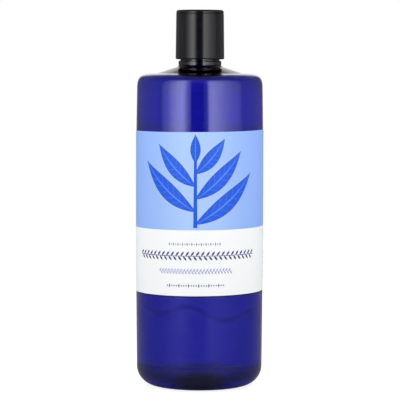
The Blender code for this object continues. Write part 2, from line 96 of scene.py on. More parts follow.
class BodySettings(bpy.types.PropertyGroup):
    columns: count("Columns", "Columns of faces round the bottle", 160)
    panel_radius: length("Panel radius", "Radius of the straight wall under the label", 41.2)
    base_inset: length("Base inset", "How much narrower the bottle is just above its heel", 0.4)
    shoulder_inset: length("Shoulder inset", "How much narrower the bottle is at its shoulder", 0.35)
    panel_bottom: length("Panel bottom", "Height at which the straight wall starts", 60.0)
    panel_top: length("Panel top", "Height at which the straight wall ends", 168.4)
    body_top: length("Body top", "Height at which the shoulder starts to round over", 192.5)
    wall: length("Wall", "Thickness of the blown wall", 0.9)
    base_wall: length("Base wall", "Thickness of the base, which is blown less", 0.9)
    root_wall: length("Root wall", "Thickness of the wall at the neck's root, which is not blown", 2.3)
    heel_round: length("Heel round", "Radius of the rounded heel", 12.5)
    foot_width: length("Foot width", "Width of the ring the bottle stands on", 3.0)
    push_up: length("Push-up", "Height of the dome in the base", 10.0)
    push_up_power: ratio("Push-up power", "Exponent of the dome's curve", 2.2)
    shoulder_rise: length("Shoulder rise", "Height of the shoulder's rounded corner", 10.25)
    side_pull: ratio("Side pull", "How far the corner's curve keeps to the wall", 0.88)
    top_pull: ratio("Top pull", "How far out the corner's curve keeps to the cone", 0.8)
    top_drop: ratio("Top drop", "How far the corner's curve dips below the cone's edge", 0.04)
    cone_edge_radius: length("Cone edge radius", "Radius where the shoulder's cone starts", 28.0)
    cone_rise: length("Cone rise", "Height of the cone", 4.15)
    root_radius: length("Root radius", "Radius where the cone meets the neck", 14.6)
    # The wave settings place the painted shade of a faint dark wavy line on the lower body
    wave_height: length("Wave height", "Middle height of the faint wavy line in the lower body", 51.5)
    wave_swing: length("Wave swing", "How far the wavy line swings up and down", 3.4)
    wave_length: length("Wave length", "Length along X for one radian of the wavy line's swing", 6.6)
    wave_phase: ratio("Wave phase", "Radians of the wavy line's swing at the middle of the front", 2.10)
    wave_fall: ratio("Wave fall", "How much the wavy line falls for each length along X", 0.1)
    wave_half: length("Wave half width", "Half the wavy line's width, where it fades out", 3.4)


class NeckSettings(bpy.types.PropertyGroup):
    groove_depth: length("Groove depth", "Depth of the groove under the collar", 0.2)
    groove_height: length("Groove height", "Height of the groove under the collar", 1.3)
    groove_lip: length("Groove lip", "Height of the groove's sloping upper edge", 0.3)
    collar_radius: length("Collar radius", "Radius of the collar", 13.95)
    collar_height: length("Collar height", "Height of the collar", 2.8)
    collar_round: length("Collar round", "Radius of the collar's upper edge", 0.9)
    radius: length("Neck radius", "Radius of the threaded finish at the thread's root", 12.75)
    bore_radius: length("Bore radius", "Radius of the mouth", 10.8)
    bore_round: length("Bore round", "Slope from the bore out to the inside of the cone", 1.0)
    finish_height: length("Finish height", "Height of the finish above the collar", 17.0)
    lip_chamfer: length("Lip chamfer", "Chamfer at the lip", 0.3)


class ThreadSettings(bpy.types.PropertyGroup):
    row_height: length("Row height", "Height of a row of faces where the thread runs", 0.16)
    pitch: length("Pitch", "Rise of the thread in one turn", 4.2333)
    height: length("Height", "How far the thread stands out of its wall", 1.1)
    root_half: length("Root half width", "Half the thread's width at its wall", 1.2)
    crest_half: length("Crest half width", "Half the thread's width at its crest", 0.5)
    neck_turns: ratio("Neck turns", "Turns of the thread on the neck", 1.5)
    cap_turns: ratio("Cap turns", "Turns of the thread in the cap", 1.25)
    cap_first_turn: ratio("Cap first turn", "Turn at which the cap's thread starts", -0.25)
    fade_turns: ratio("Fade", "Part of a turn over which the thread's ends fade", 0.1)
    start_below_lip: length("Start below lip", "Height from the thread's upper end to the lip", 1.7)
    axial_play: length("Axial play", "Play between the two threads along the axis", 0.3)
    radial_play: length("Radial play", "Play between the neck's thread and the cap's wall", 0.35)


class SoapSettings(bpy.types.PropertyGroup):
    level: length("Level", "Height of the soap's surface", 192.0)
    overlap: length("Overlap", "How far the soap reaches into the wall, so that no film of air shows", 0.2)


class LabelSettings(bpy.types.PropertyGroup):
    bottom: length("Bottom", "Lower edge of the label", 62.2)
    top: length("Top", "Upper edge of the label", 166.25)
    field_bottom: length("Field bottom", "Lower edge of the pale blue field", 104.1)
    open_width: length("Open width", "Gap between the label's ends at the back", 42.0)
    askew: angle("Askew", "How far the label leans up to its right", 0.42)
    # Height of the line of painted shadow under the label's lower edge
    edge_shadow: length("Rebate", "Height of the dark line along the label's lower edge", 0.9)
    gap: length("Gap", "Room between the bottle's wall and the film", 0.05)
    film: length("Film", "Thickness of the film", 0.1)
    ink: length("Ink", "Thickness of each layer of ink, and the room under it", 0.02)


class SprigSettings(bpy.types.PropertyGroup):
    margin: length("Margin", "Room between the sprig and the field's lower and upper edges", 1.5)
    stem_half: length("Stem half width", "Half the width of the stem", 1.1)
    pitch: length("Leaf pitch", "Height from one leaf to the next on the same side", 16.0)
    pairs: count("Leaf pairs", "Leaves on the stem's right", 3)
    leaf_length: length("Leaf length", "Length of the lowest leaf", 50.0)
    leaf_half: length("Leaf half width", "Half the width of the lowest leaf", 5.2)
    stalk_half: length("Stalk half width", "Half the width of a leaf's stalk", 0.55)
    lowest_root: length("Lowest root", "Height of the lowest leaf's root above the stem's foot", 2.6)
    tilt: angle("Tilt", "Lean of the lowest leaf from upright", 62.0)
    tilt_step: angle("Tilt step", "How much steeper each higher leaf stands", 5.5)
    curl: angle("Curl", "How far a leaf's tip curls upwards", -22.0)
    shrink_power: ratio("Shrink power", "Exponent by which leaves shorten with height", 1.5)
    belly_power: ratio("Belly power", "Exponent that shifts a leaf's widest place", 0.9)
    crown_fullness: ratio("Crown fullness", "Width of the top leaf, as a part of the lowest one's", 0.5)


class CapSettings(bpy.types.PropertyGroup):
    columns: count("Columns", "Columns of faces round the cap", 144)
    above_collar: length("Above collar", "Room between the collar and the cap's lower edge", 0.75)
    height: length("Height", "Height of the cap", 31.95)
    bottom_radius: length("Bottom radius", "Radius at the lower edge", 15.8)
    top_radius: length("Top radius", "Radius at the upper edge", 15.45)
    top_round: length("Top round", "Radius of the upper edge's rounding", 1.6)
    bottom_round: length("Bottom round", "Radius of the lower edge's rounding", 0.8)
    ring_below_top: length("Ring below top", "Distance from the fine ring down from the top", 2.3)
    ring_height: length("Ring height", "Height of the fine ring's groove", 0.5)
    ring_depth: length("Ring depth", "Depth of the fine ring's groove", 0.25)
    deck: length("Deck", "Thickness of the deck over the neck", 1.6)
    chamber_radius: length("Chamber radius", "Radius of the chamber that holds the disc", 13.2)
    post_radius: length("Post radius", "Radius of the pouring post", 3.2)
    post_bore: length("Post bore", "Radius of the hole through the post", 1.5)
    liner: length("Liner", "Thickness of the foam liner", 1.0)
    liner_radius: length("Liner radius", "Outer radius of the foam liner", 13.8)
    seat_gap: length("Seat gap", "Play above and below the liner", 0.3)


class DiscSettings(bpy.types.PropertyGroup):
    radius: length("Radius", "Radius of the tilting disc", 12.75)
    below_rim: length("Below rim", "How far the disc lies below the cap's rim", 0.4)
    above_pivot: length("Above pivot", "Height of the disc's top above its pivot", 2.2)
    below_pivot: length("Below pivot", "Depth of the disc's skirt below its pivot", 2.4)
    plate: length("Plate", "Thickness of the disc's plate", 1.4)
    skirt: length("Skirt", "Thickness of the disc's skirt", 1.4)
    edge_round: length("Edge round", "Radius of the disc's upper edge", 0.5)
    dish_depth: length("Dish depth", "Depth of the finger dish at the back", 0.7)
    dish_back: length("Dish place", "Distance of the finger dish behind the pivot", 6.2)
    dish_across: length("Dish across", "Half the finger dish's width", 7.6)
    dish_along: length("Dish along", "Half the finger dish's length", 4.8)
    barrel_radius: length("Barrel radius", "Radius of the barrel that turns on the post", 2.0)
    barrel_length: length("Barrel length", "Length of the barrel", 8.0)
    spout_radius: length("Spout radius", "Outer radius of the spout's channel", 1.7)
    spout_bore: length("Spout bore", "Inner radius of the spout's channel", 0.9)
    pin_radius: length("Pin radius", "Radius of the side pins", 1.2)
    pin_reach: length("Pin reach", "How far the pins stand out of the disc", 0.7)
    pin_play: length("Pin play", "Play round and beyond the pins in their holes", 0.3)


class FinishSettings(bpy.types.PropertyGroup):
    pet: colour("Bottle", "What the bottle's plastic lets through", (0.012, 0.0, 0.762))
    pet_density: ratio("Bottle density", "How strongly the plastic dims light, for each metre", 2655.0)
    body_skin: colour("Body skin", "Tint of the body's surface", (0.95, 0.95, 0.99))
    # Painted shade: a faint dark wavy line on the front of the lower body, standing in for a dark image
    # refracted through the bottle
    wave: colour("Wave", "Tint of the faint wavy line in the lower body", (0.45, 0.45, 0.72))
    # Painted shadow: a dark line just under the label's lower edge, where the label's step shades the recess
    edge_shadow: colour("Rebate", "Tint of the line along the label's lower edge", (0.02, 0.02, 0.1))
    # Partly the heel's thicker plastic, partly painted shade: the shadowed floor under the bottle seen
    # through its base
    heel_tint_and_shade: colour("Heel skin", "Tint of the heel's surface", (0.62, 0.62, 0.42))
    # Partly the thicker plastic of the cone and neck, partly painted shade: the black cap seen in and through
    # them
    neck_tint_and_shade: colour("Neck skin", "Tint of the surface of the cone and neck", (0.12, 0.12, 0.34))
    soap: colour("Soap", "Tint of the soap", (0.86, 0.88, 0.97))
    film: colour("Film", "White of the label film", (0.915, 0.935, 0.945))
    # The field's two blues differ by painted light and shade: paler in the middle of the front, darker at the
    # sides
    field: colour("Field", "Pale blue of the field at its sides", (0.27, 0.445, 0.93))
    field_painted_highlight: colour("Pale field", "Pale blue of the field in the middle of the front", (0.40, 0.575, 0.92))
    sprig: colour("Sprig", "Deep blue of the sprig", (0.006, 0.100, 0.74))
    vein: colour("Vein", "Blue of the leaves' ribs", (0.09, 0.24, 0.88))
    sprig_edge: colour("Sprig edge", "Dark blue of the leaves' outlines", (0.020, 0.065, 0.42))
    grey: colour("Grey ink", "Ink of the first line", (0.22, 0.22, 0.27))
    navy: colour("Navy ink", "Ink of the wide line", (0.045, 0.045, 0.21))
    lilac: colour("Lilac ink", "Ink of the third line", (0.30, 0.31, 0.60))
    slate: colour("Slate ink", "Ink of the last line", (0.045, 0.05, 0.14))
    cap: colour("Cap", "Black of the cap", (0.0042, 0.0038, 0.0062))
    foam: colour("Foam", "White of the liner", (0.85, 0.85, 0.83))


class StudioSettings(bpy.types.PropertyGroup):
    distance: length("Distance", "Distance from the camera to the bottle's axis", 1400.0)
    eye_height: length("Eye height", "Height of the camera", 221.5)
    orbit: angle("Orbit", "How far the camera stands to the right of the label's front", 3.7)
    pitch: angle("Pitch", "How far the camera looks down", 4.13)
    roll: angle("Roll", "How far the camera is rolled", 0.15)
    lens: ratio("Lens", "Focal length in millimetres on a 36 mm sensor", 194.1)
    shift: ratio("Shift", "Sideways shift of the frame, as a part of its width", 0.00105)
    box_distance: length("Box distance", "Distance from the bottle to each softbox", 1000.0)
    box_bottom: length("Box bottom", "Height of the softboxes' lower edges", 60.0)
    box_height: length("Box height", "Height of the softboxes", 1500.0)
    left_angle: angle("Left angle", "Direction of the left softbox, from the camera", -43.0)
    left_width: length("Left width", "Width of the left softbox", 1109.0)
    left_radiance: ratio("Left radiance", "Greatest brightness of the left softbox", 4.9)
    right_angle: angle("Right angle", "Direction of the right softbox, from the camera", 43.5)
    right_width: length("Right width", "Width of the right softbox", 1507.0)
    right_radiance: ratio("Right radiance", "Greatest brightness of the right softbox", 4.3)
    ambient_front: ratio("Ambient in front", "Brightness of the room's front for soft light", 1.49)
    ambient: ratio("Ambient", "Brightness of the room's sides and back for soft light", 1.39)
    overhead: ratio("Overhead", "Brightness overhead, as gloss shows it", 0.3)
    floor_radius: length("Floor radius", "Radius of the floor", 700.0)
    floor_albedo: ratio("Floor albedo", "White of the floor", 0.24)
    floor_lift: ratio("Floor lift", "Added brightness of the floor for the camera", 0.86)
    glass_lift: ratio("Glass lift", "Added brightness of the floor as seen through the bottle", 0.63)
    under_lift: ratio("Under lift", "The same for the floor under the bottle", 1.5)


SETTINGS = {
    "soap_bottle_body": BodySettings,
    "soap_bottle_neck": NeckSettings,
    "soap_bottle_thread": ThreadSettings,
    "soap_bottle_soap": SoapSettings,
    "soap_bottle_label": LabelSettings,
    "soap_bottle_sprig": SprigSettings,
    "soap_bottle_cap": CapSettings,
    "soap_bottle_disc": DiscSettings,
    "soap_bottle_finish": FinishSettings,
    "soap_bottle_studio": StudioSettings,
}


def settings(part):
    """The settings of that part of the bottle."""
    return getattr(bpy.context.scene, "soap_bottle_" + part)


# Heights that several pieces share


def cone_edge_z():
    """Height where the shoulder's corner meets its cone."""
    body = settings("body")
    return body.body_top + body.shoulder_rise


def collar_bottom():
    """Height of the collar's lower edge."""
    return cone_edge_z() + settings("body").cone_rise + settings("neck").groove_height


def collar_top():
    """Height of the collar's upper face."""
    return collar_bottom() + settings("neck").collar_height


def lip_z():
    """Height of the bottle's lip."""
    return collar_top() + settings("neck").finish_height


def cap_bottom():
    """Height of the cap's lower edge."""
    return collar_top() + settings("cap").above_collar


def cap_top():
    """Height of the cap's rim."""
    return cap_bottom() + settings("cap").height


def pivot_z():
    """Height of the disc's pivot."""
    disc = settings("disc")
    return cap_top() - disc.below_rim - disc.above_pivot


def liner_bottom():
    """Height of the liner's lower face."""
    return lip_z() + settings("cap").seat_gap


def deck_bottom():
    """Height of the deck's lower face."""
    cap = settings("cap")
    return liner_bottom() + cap.liner + cap.seat_gap


# Profiles, as arrays of (r, z)


def line(start, end, steps):
    """Evenly spaced points from start to end."""
    return np.linspace(start, end, steps + 1)


def arc(centre, radius, start, end, steps):
    """Points of a circle about centre, from one angle to another, in degrees from outwards towards up."""
    turn = np.radians(np.linspace(start, end, steps + 1))
    return np.array(centre) + radius * np.stack([np.cos(turn), np.sin(turn)], axis=1)


def bezier(p0, p1, p2, p3, steps):
    """Points of a cubic curve: the four points weighed by the cubic Bernstein polynomials of t."""
    t = np.linspace(0, 1, steps + 1)[:, None]
    weights = [(1 - t) ** 3, 3 * t * (1 - t) ** 2, 3 * t**2 * (1 - t), t**3]
    return sum(weight * np.array(point) for weight, point in zip(weights, (p0, p1, p2, p3)))


def joined(*paths):
    """One path from several, without the points that repeat the one before."""
    path = np.concatenate([np.atleast_2d(p) for p in paths])
    keep = np.ones(len(path), dtype=bool)
    keep[1:] = np.linalg.norm(np.diff(path, axis=0), axis=1) > SAME_POINT
    return path[keep]


def moved_in(path, depth):
    """The path moved by each point's depth to its left, square to the mean of the two stretches beside it."""
    run = np.diff(path, axis=0)
    run /= np.linalg.norm(run, axis=1)[:, None]
    side = np.stack([-run[:, 1], run[:, 0]], axis=1)
    corner = np.vstack([side[:1], (side[:-1] + side[1:]) / 2, side[-1:]])
    corner /= (corner**2).sum(axis=1)[:, None]
    inner = path + corner * depth[:, None]
    inner[0, 0] = 0.0
    return inner


def outer_wall():
    """The bottle's outside from the middle of its base to the root of its neck.

    The base's dome falls off as a power of the radius to the foot ring. The heel is a quarter circle, the
    wall is nearly straight, and the shoulder is a cubic curve that ends in a straight cone.
    """
    body = settings("body")
    base_radius = body.panel_radius - body.base_inset
    shoulder_radius = body.panel_radius - body.shoulder_inset
    foot_radius = base_radius - body.heel_round
    dome_radius = foot_radius - body.foot_width
    r = np.linspace(0, dome_radius, 22)
    dome = np.stack([r, body.push_up * (1 - (r / dome_radius) ** body.push_up_power)], axis=1)
    cone_edge = (body.cone_edge_radius, cone_edge_z())
    corner_reach = shoulder_radius - body.cone_edge_radius
    return joined(
        dome,
        line((dome_radius, 0), (foot_radius, 0), 2),
        arc((foot_radius, body.heel_round), body.heel_round, -90, 0, 26),
        line((base_radius, body.heel_round), (body.panel_radius, body.panel_bottom), 12),
        line((body.panel_radius, body.panel_bottom), (body.panel_radius, body.panel_top), 8),
        line((body.panel_radius, body.panel_top), (shoulder_radius, body.body_top), 8),
        bezier(
            (shoulder_radius, body.body_top),
            (shoulder_radius, body.body_top + body.side_pull * body.shoulder_rise),
            (
                body.cone_edge_radius + body.top_pull * corner_reach,
                cone_edge[1] - body.top_drop * body.shoulder_rise,
            ),
            cone_edge,
            32,
        ),
        line(cone_edge, (body.root_radius, cone_edge[1] + body.cone_rise), 8),
    )


def wall_depth(path):
    """The wall's thickness at each point of the outside, which is more in the base and towards the neck."""
    body = settings("body")
    by_height = np.interp(path[:, 1], [0.3 * body.heel_round, body.heel_round], [body.base_wall, body.wall])
    on_foot = path[:, 0] < body.panel_radius - body.base_inset - body.heel_round
    low = np.where(on_foot, body.base_wall, by_height)
    high = np.interp(path[:, 0], [body.root_radius, body.cone_edge_radius], [body.root_wall, body.wall])
    return np.where(path[:, 1] < body.body_top, low, high)


# Meshes from grids of points


def grid_faces(rows, columns, wrap_rows=False, wrap_columns=False):
    """The corner numbers of the four-sided faces between the points of a grid that is numbered row by row."""
    i = np.arange(rows if wrap_rows else rows - 1)[:, None]
    j = np.arange(columns if wrap_columns else columns - 1)[None, :]
    below = i * columns
    above = (i + 1) % rows * columns
    ahead = (j + 1) % columns
    return np.stack([below + j, below + ahead, above + ahead, above + j], axis=-1).reshape(-1, 4)


def add_mesh(name, points, faces, materials, corner_uv=None):
    """An object from arrays of points and faces. Points in one place are merged and faces turned outwards."""
    mesh = bpy.data.meshes.new(name)
    mesh.from_pydata(points.tolist(), [], faces.tolist())
    for material in materials:
        mesh.materials.append(material)
    if corner_uv is not None:
        layer = mesh.uv_layers.new(name="UVMap")
        layer.data.foreach_set("uv", corner_uv[faces].astype(np.float32).ravel())
    work = bmesh.new()
    work.from_mesh(mesh)
    bmesh.ops.remove_doubles(work, verts=work.verts, dist=MERGE_DISTANCE)
    bmesh.ops.dissolve_degenerate(work, edges=work.edges, dist=THIN_EDGE)
    bmesh.ops.recalc_face_normals(work, faces=work.faces)
    work.to_mesh(mesh)
    work.free()
    mesh.shade_smooth()
    mesh.set_sharp_from_angle(angle=SHARP_ANGLE)
    made = bpy.data.objects.new(name, mesh)
    bpy.context.scene.collection.objects.link(made)
    return made


def around(radii, heights):
    """Points of a grid of radii and heights, one row per height and one column per step round the Z axis."""
    turn = np.arange(radii.shape[1]) * math.tau / radii.shape[1]
    heights = np.broadcast_to(heights, radii.shape)
    return np.stack([radii * np.cos(turn), radii * np.sin(turn), heights], axis=-1)


def turned(path, columns):
    """The grid of points of a path of (r, z) turned round the Z axis."""
    return around(np.repeat(path[:, :1], columns, axis=1), path[:, 1:])


def shell(name, grid, materials, closed=False):
    """An object from a grid that closes round the Z axis. Closed joins its last row to its first as well."""
    rows, columns = grid.shape[:2]
    faces = grid_faces(rows, columns, wrap_rows=closed, wrap_columns=True)
    return add_mesh(name, grid.reshape(-1, 3), faces, materials)


def sheet_faces(patches, rows, columns):
    """The faces of thin closed sheets. Each has a grid of outer points, and after it one of inner points.

    The rim joins the outer grid's edge to the inner grid's, all the way round.
    """
    size = rows * columns
    front = grid_faces(rows, columns)
    index = np.arange(size).reshape(rows, columns)
    edge = np.concatenate([index[0, :-1], index[:-1, -1], index[-1, :0:-1], index[:0:-1, 0]])
    ahead = np.roll(edge, -1)
    rim = np.stack([edge, ahead, ahead + size, edge + size], axis=1)
    one = np.concatenate([front, front[:, ::-1] + size, rim])
    return (one[None] + np.arange(patches)[:, None, None] * 2 * size).reshape(-1, 4)


def on_panel(flat, layer):
    """Points (s, z) on the label, bent round the panel at that layer of ink: 0 is the film's outer face.

    s is the length round the panel from the front's middle. The label leans: z grows with s.
    """
    label = settings("label")
    radius = settings("body").panel_radius + label.gap + label.film + layer * label.ink
    turn = flat[..., 0] / settings("body").panel_radius
    x = radius * np.sin(turn)
    z = flat[..., 1] + flat[..., 0] * math.tan(label.askew)
    return np.stack([x, -radius * np.cos(turn), z], axis=-1)


def printed(name, flat, layer, material, uv=None):
    """A layer of ink from (s, z) points, in an array of patches, rows, columns and the two lengths."""
    patches, rows, columns = flat.shape[:3]
    outer = on_panel(flat, layer + 1)
    inner = on_panel(flat, layer + 0.3)
    points = np.stack([outer, inner], axis=1).reshape(-1, 3)
    faces = sheet_faces(patches, rows, columns)
    if uv is not None:
        uv = np.stack([uv, uv], axis=1).reshape(-1, 2)
    return add_mesh(name, points, faces, [material], corner_uv=uv)


def place(piece, body, slot, *nodes):
    """The piece rides on that body and stands for those CAD nodes, which are hidden. The slot is not used."""
    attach(piece, body)
    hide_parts(*nodes)
    return piece


# Materials


def new_material(name, **values):
    """A material with one Principled shader, whose sockets get these values, and its nodes and links."""
    material = bpy.data.materials.new(name)
    material.use_nodes = True
    tree = material.node_tree
    shader = tree.nodes["Principled BSDF"]
    for socket, value in values.items():
        shader.inputs[socket.replace("_", " ")].default_value = value
    return material, tree, shader


def node(tree, kind, **values):
    """A node of that kind. Values go to the sockets of those names, and to its own settings."""
    made = tree.nodes.new(kind)
    for key, value in values.items():
        if hasattr(made, key):
            setattr(made, key, value)
        else:
            made.inputs[key.replace("_", " ")].default_value = value
    return made


def object_noise(tree, scale, detail=3.0, stretch=1.0):
    """Noise over the piece's own place, as a socket. A stretch under 1 draws it out upwards."""
    place_node = tree.nodes.new("ShaderNodeTexCoord")
    scaled = node(tree, "ShaderNodeVectorMath", operation="MULTIPLY")
    scaled.inputs[1].default_value = (1.0, 1.0, stretch)
    tree.links.new(place_node.outputs["Object"], scaled.inputs[0])
    noise = node(tree, "ShaderNodeTexNoise", Scale=scale, Detail=detail)
    tree.links.new(scaled.outputs[0], noise.inputs["Vector"])
    return noise.outputs["Fac"]


def mapped(tree, source, low, high, to_low=0.0, to_high=1.0, smooth=False):
    """The source carried from one range to another and held at its ends, as a socket."""
    made = tree.nodes.new("ShaderNodeMapRange")
    made.interpolation_type = "SMOOTHSTEP" if smooth else "LINEAR"
    tree.links.new(source, made.inputs["Value"])
    for socket, value in zip(("From Min", "From Max", "To Min", "To Max"), (low, high, to_low, to_high)):
        made.inputs[socket].default_value = value
    return made.outputs["Result"]


def mixed(tree, factor, first, second):
    """Two colours, each a socket or a value, mixed by a factor socket, as a socket."""
    made = tree.nodes.new("ShaderNodeMix")
    made.data_type = "RGBA"
    tree.links.new(factor, made.inputs["Factor"])
    for socket, value in ((made.inputs[6], first), (made.inputs[7], second)):
        if isinstance(value, bpy.types.NodeSocket):
            tree.links.new(value, socket)
        else:
            socket.default_value = (*value, 1.0)
    return made.outputs[2]


def add_bump(tree, shader, source, distance):
    """Relief of that height from a socket."""
    bump = node(tree, "ShaderNodeBump", Strength=1.0, Distance=distance)
    tree.links.new(source, bump.inputs["Height"])
    tree.links.new(bump.outputs["Normal"], shader.inputs["Normal"])


def near_height(tree, level, height, half_width):
    """1 where a level equals that height, falling to 0 at half_width above and below it."""
    apart = node(tree, "ShaderNodeMath", operation="SUBTRACT")
    tree.links.new(level, apart.inputs[0])
    tree.links.new(height, apart.inputs[1])
    off = node(tree, "ShaderNodeMath", operation="ABSOLUTE")
    tree.links.new(apart.outputs[0], off.inputs[0])
    return mapped(tree, off.outputs[0], 0.0, half_width, 1.0, 0.0, smooth=True)


def multiplied_add(tree, value, factor, added):
    """The value times a factor, and something added, as a socket."""
    result = node(tree, "ShaderNodeMath", operation="MULTIPLY_ADD")
    tree.links.new(value, result.inputs[0])
    result.inputs[1].default_value = factor
    result.inputs[2].default_value = added
    return result.outputs[0]


def product(tree, first, second):
    """The product of two sockets."""
    result = node(tree, "ShaderNodeMath", operation="MULTIPLY")
    tree.links.new(first, result.inputs[0])
    tree.links.new(second, result.inputs[1])
    return result.outputs[0]


def own_place(tree):
    """The node that splits a point's place on the piece into X, Y and Z."""
    place_node = tree.nodes.new("ShaderNodeTexCoord")
    parts = tree.nodes.new("ShaderNodeSeparateXYZ")
    tree.links.new(place_node.outputs["Object"], parts.inputs["Vector"])
    return parts


def painted_wave_shade(tree):
    """The share of painted shade along a faint dark wavy line round the front of the lower body, which stands
    in for a dark image refracted through the bottle.

    The line's height is a middle height, plus a swing times the sine of X over a length, less a fall times X.
    """
    body = settings("body")
    parts = own_place(tree)
    phase = multiplied_add(tree, parts.outputs["X"], 1 / body.wave_length, body.wave_phase)
    sine = node(tree, "ShaderNodeMath", operation="SINE")
    tree.links.new(phase, sine.inputs[0])
    height = multiplied_add(tree, sine.outputs[0], body.wave_swing, body.wave_height)
    fall = multiplied_add(tree, parts.outputs["X"], body.wave_fall, 0.0)
    level = node(tree, "ShaderNodeMath", operation="ADD")
    tree.links.new(parts.outputs["Z"], level.inputs[0])
    tree.links.new(fall, level.inputs[1])
    line_share = near_height(tree, level.outputs[0], height, body.wave_half)
    # The painted shade is kept to the front, which faces the camera
    front = mapped(tree, parts.outputs["Y"], -0.6 * body.panel_radius, 0.0, 1.0, 0.0, smooth=True)
    patchy = mapped(tree, object_noise(tree, 55.0, 2.0), 0.3, 0.6, 0.3, 1.0)
    return product(tree, product(tree, line_share, front), patchy)


def label_edge_shadow(tree):
    """The share of painted shadow in a dark line just under the label's leaning lower edge."""
    label = settings("label")
    parts = own_place(tree)
    height = multiplied_add(tree, parts.outputs["X"], math.tan(label.askew), label.bottom - label.edge_shadow / 2)
    return near_height(tree, parts.outputs["Z"], height, label.edge_shadow)


# Heights over which the heel's darker tint ends, and steps from the cone's edge over which the neck's
# begins. Both tints are partly thicker plastic and partly painted shade.
HEEL_SHADE_HEIGHTS = (8 * MM, 14 * MM)
NECK_SHADE_STEPS = (-0.5 * MM, 0.7 * MM)


def bottle_material():
    """Glossy clear plastic, blue all through, so that light is dimmed by the length of its way in the wall.

    The way in the wall leaves the share exp(-density * (1 - colour) * length) of each primary. The skin is
    tinted by height: darker on the heel, cone and neck, partly for their thicker plastic and partly as
    painted shade, and darker again in painted shade along a faint wavy line and under the label's lower edge.
    """
    finish = settings("finish")
    material, tree, shader = new_material("blue_pet", Roughness=0.03, IOR=1.5, Transmission_Weight=1.0)
    volume = node(tree, "ShaderNodeVolumeAbsorption", Density=finish.pet_density)
    volume.inputs["Color"].default_value = (*finish.pet, 1.0)
    tree.links.new(volume.outputs["Volume"], tree.nodes["Material Output"].inputs["Volume"])
    z = own_place(tree).outputs["Z"]
    # Darker heel: partly thicker plastic, partly painted shade
    heel = mapped(tree, z, *HEEL_SHADE_HEIGHTS, smooth=True)
    low = mixed(tree, heel, tuple(finish.heel_tint_and_shade), tuple(finish.body_skin))
    # Painted shade along the faint dark wavy line
    low = mixed(tree, painted_wave_shade(tree), low, tuple(finish.wave))
    # Painted shadow under the label's lower edge
    low = mixed(tree, label_edge_shadow(tree), low, tuple(finish.edge_shadow))
    # Darker cone and neck: partly thicker plastic, partly painted shade
    neck_shade_heights = [cone_edge_z() + step for step in NECK_SHADE_STEPS]
    neck = mapped(tree, z, *neck_shade_heights, smooth=True)
    tree.links.new(mixed(tree, neck, low, tuple(finish.neck_tint_and_shade)), shader.inputs["Base Color"])
    add_bump(tree, shader, object_noise(tree, 30.0, 1.0, stretch=0.25), 0.00012)
    return material


def soap_material():
    """Clear liquid with a faint tint that varies slightly through it."""
    finish = settings("finish")
    material, tree, shader = new_material("liquid_soap", IOR=1.34, Roughness=0.0, Transmission_Weight=1.0)
    tint = tuple(finish.soap)
    deeper = tuple(value * 0.96 for value in tint)
    wave = mapped(tree, object_noise(tree, 25.0), 0.35, 0.65)
    tree.links.new(mixed(tree, wave, tint, deeper), shader.inputs["Base Color"])
    return material


def ink_material(name, value, roughness=0.4):
    """Print on satin film. Its colour varies by about one part in a hundred, as ink does."""
    material, tree, shader = new_material(name, Roughness=roughness, IOR=1.45, Specular_IOR_Level=0.2)
    deeper = tuple(part * 0.985 for part in value)
    mottle = mapped(tree, object_noise(tree, 900.0), 0.4, 0.6)
    tree.links.new(mixed(tree, mottle, tuple(value), deeper), shader.inputs["Base Color"])
    add_bump(tree, shader, object_noise(tree, 1500.0), 0.000004)
    return material


def field_material():
    """Pale blue ink, with painted light: paler towards the front's middle, darker at its sides."""
    finish = settings("finish")
    radius = settings("body").panel_radius
    material, tree, shader = new_material(
        "pale_blue_ink", Roughness=0.4, IOR=1.45, Specular_IOR_Level=0.2
    )
    off = node(tree, "ShaderNodeMath", operation="ABSOLUTE")
    tree.links.new(own_place(tree).outputs["X"], off.inputs[0])
    # Painted light and shade: paler in the middle of the front, darker towards the sides
    side = mapped(tree, off.outputs[0], 0.1 * radius, 0.95 * radius)
    tree.links.new(
        mixed(tree, side, tuple(finish.field_painted_highlight), tuple(finish.field)), shader.inputs["Base Color"]
    )
    add_bump(tree, shader, object_noise(tree, 1500.0), 0.000004)
    return material


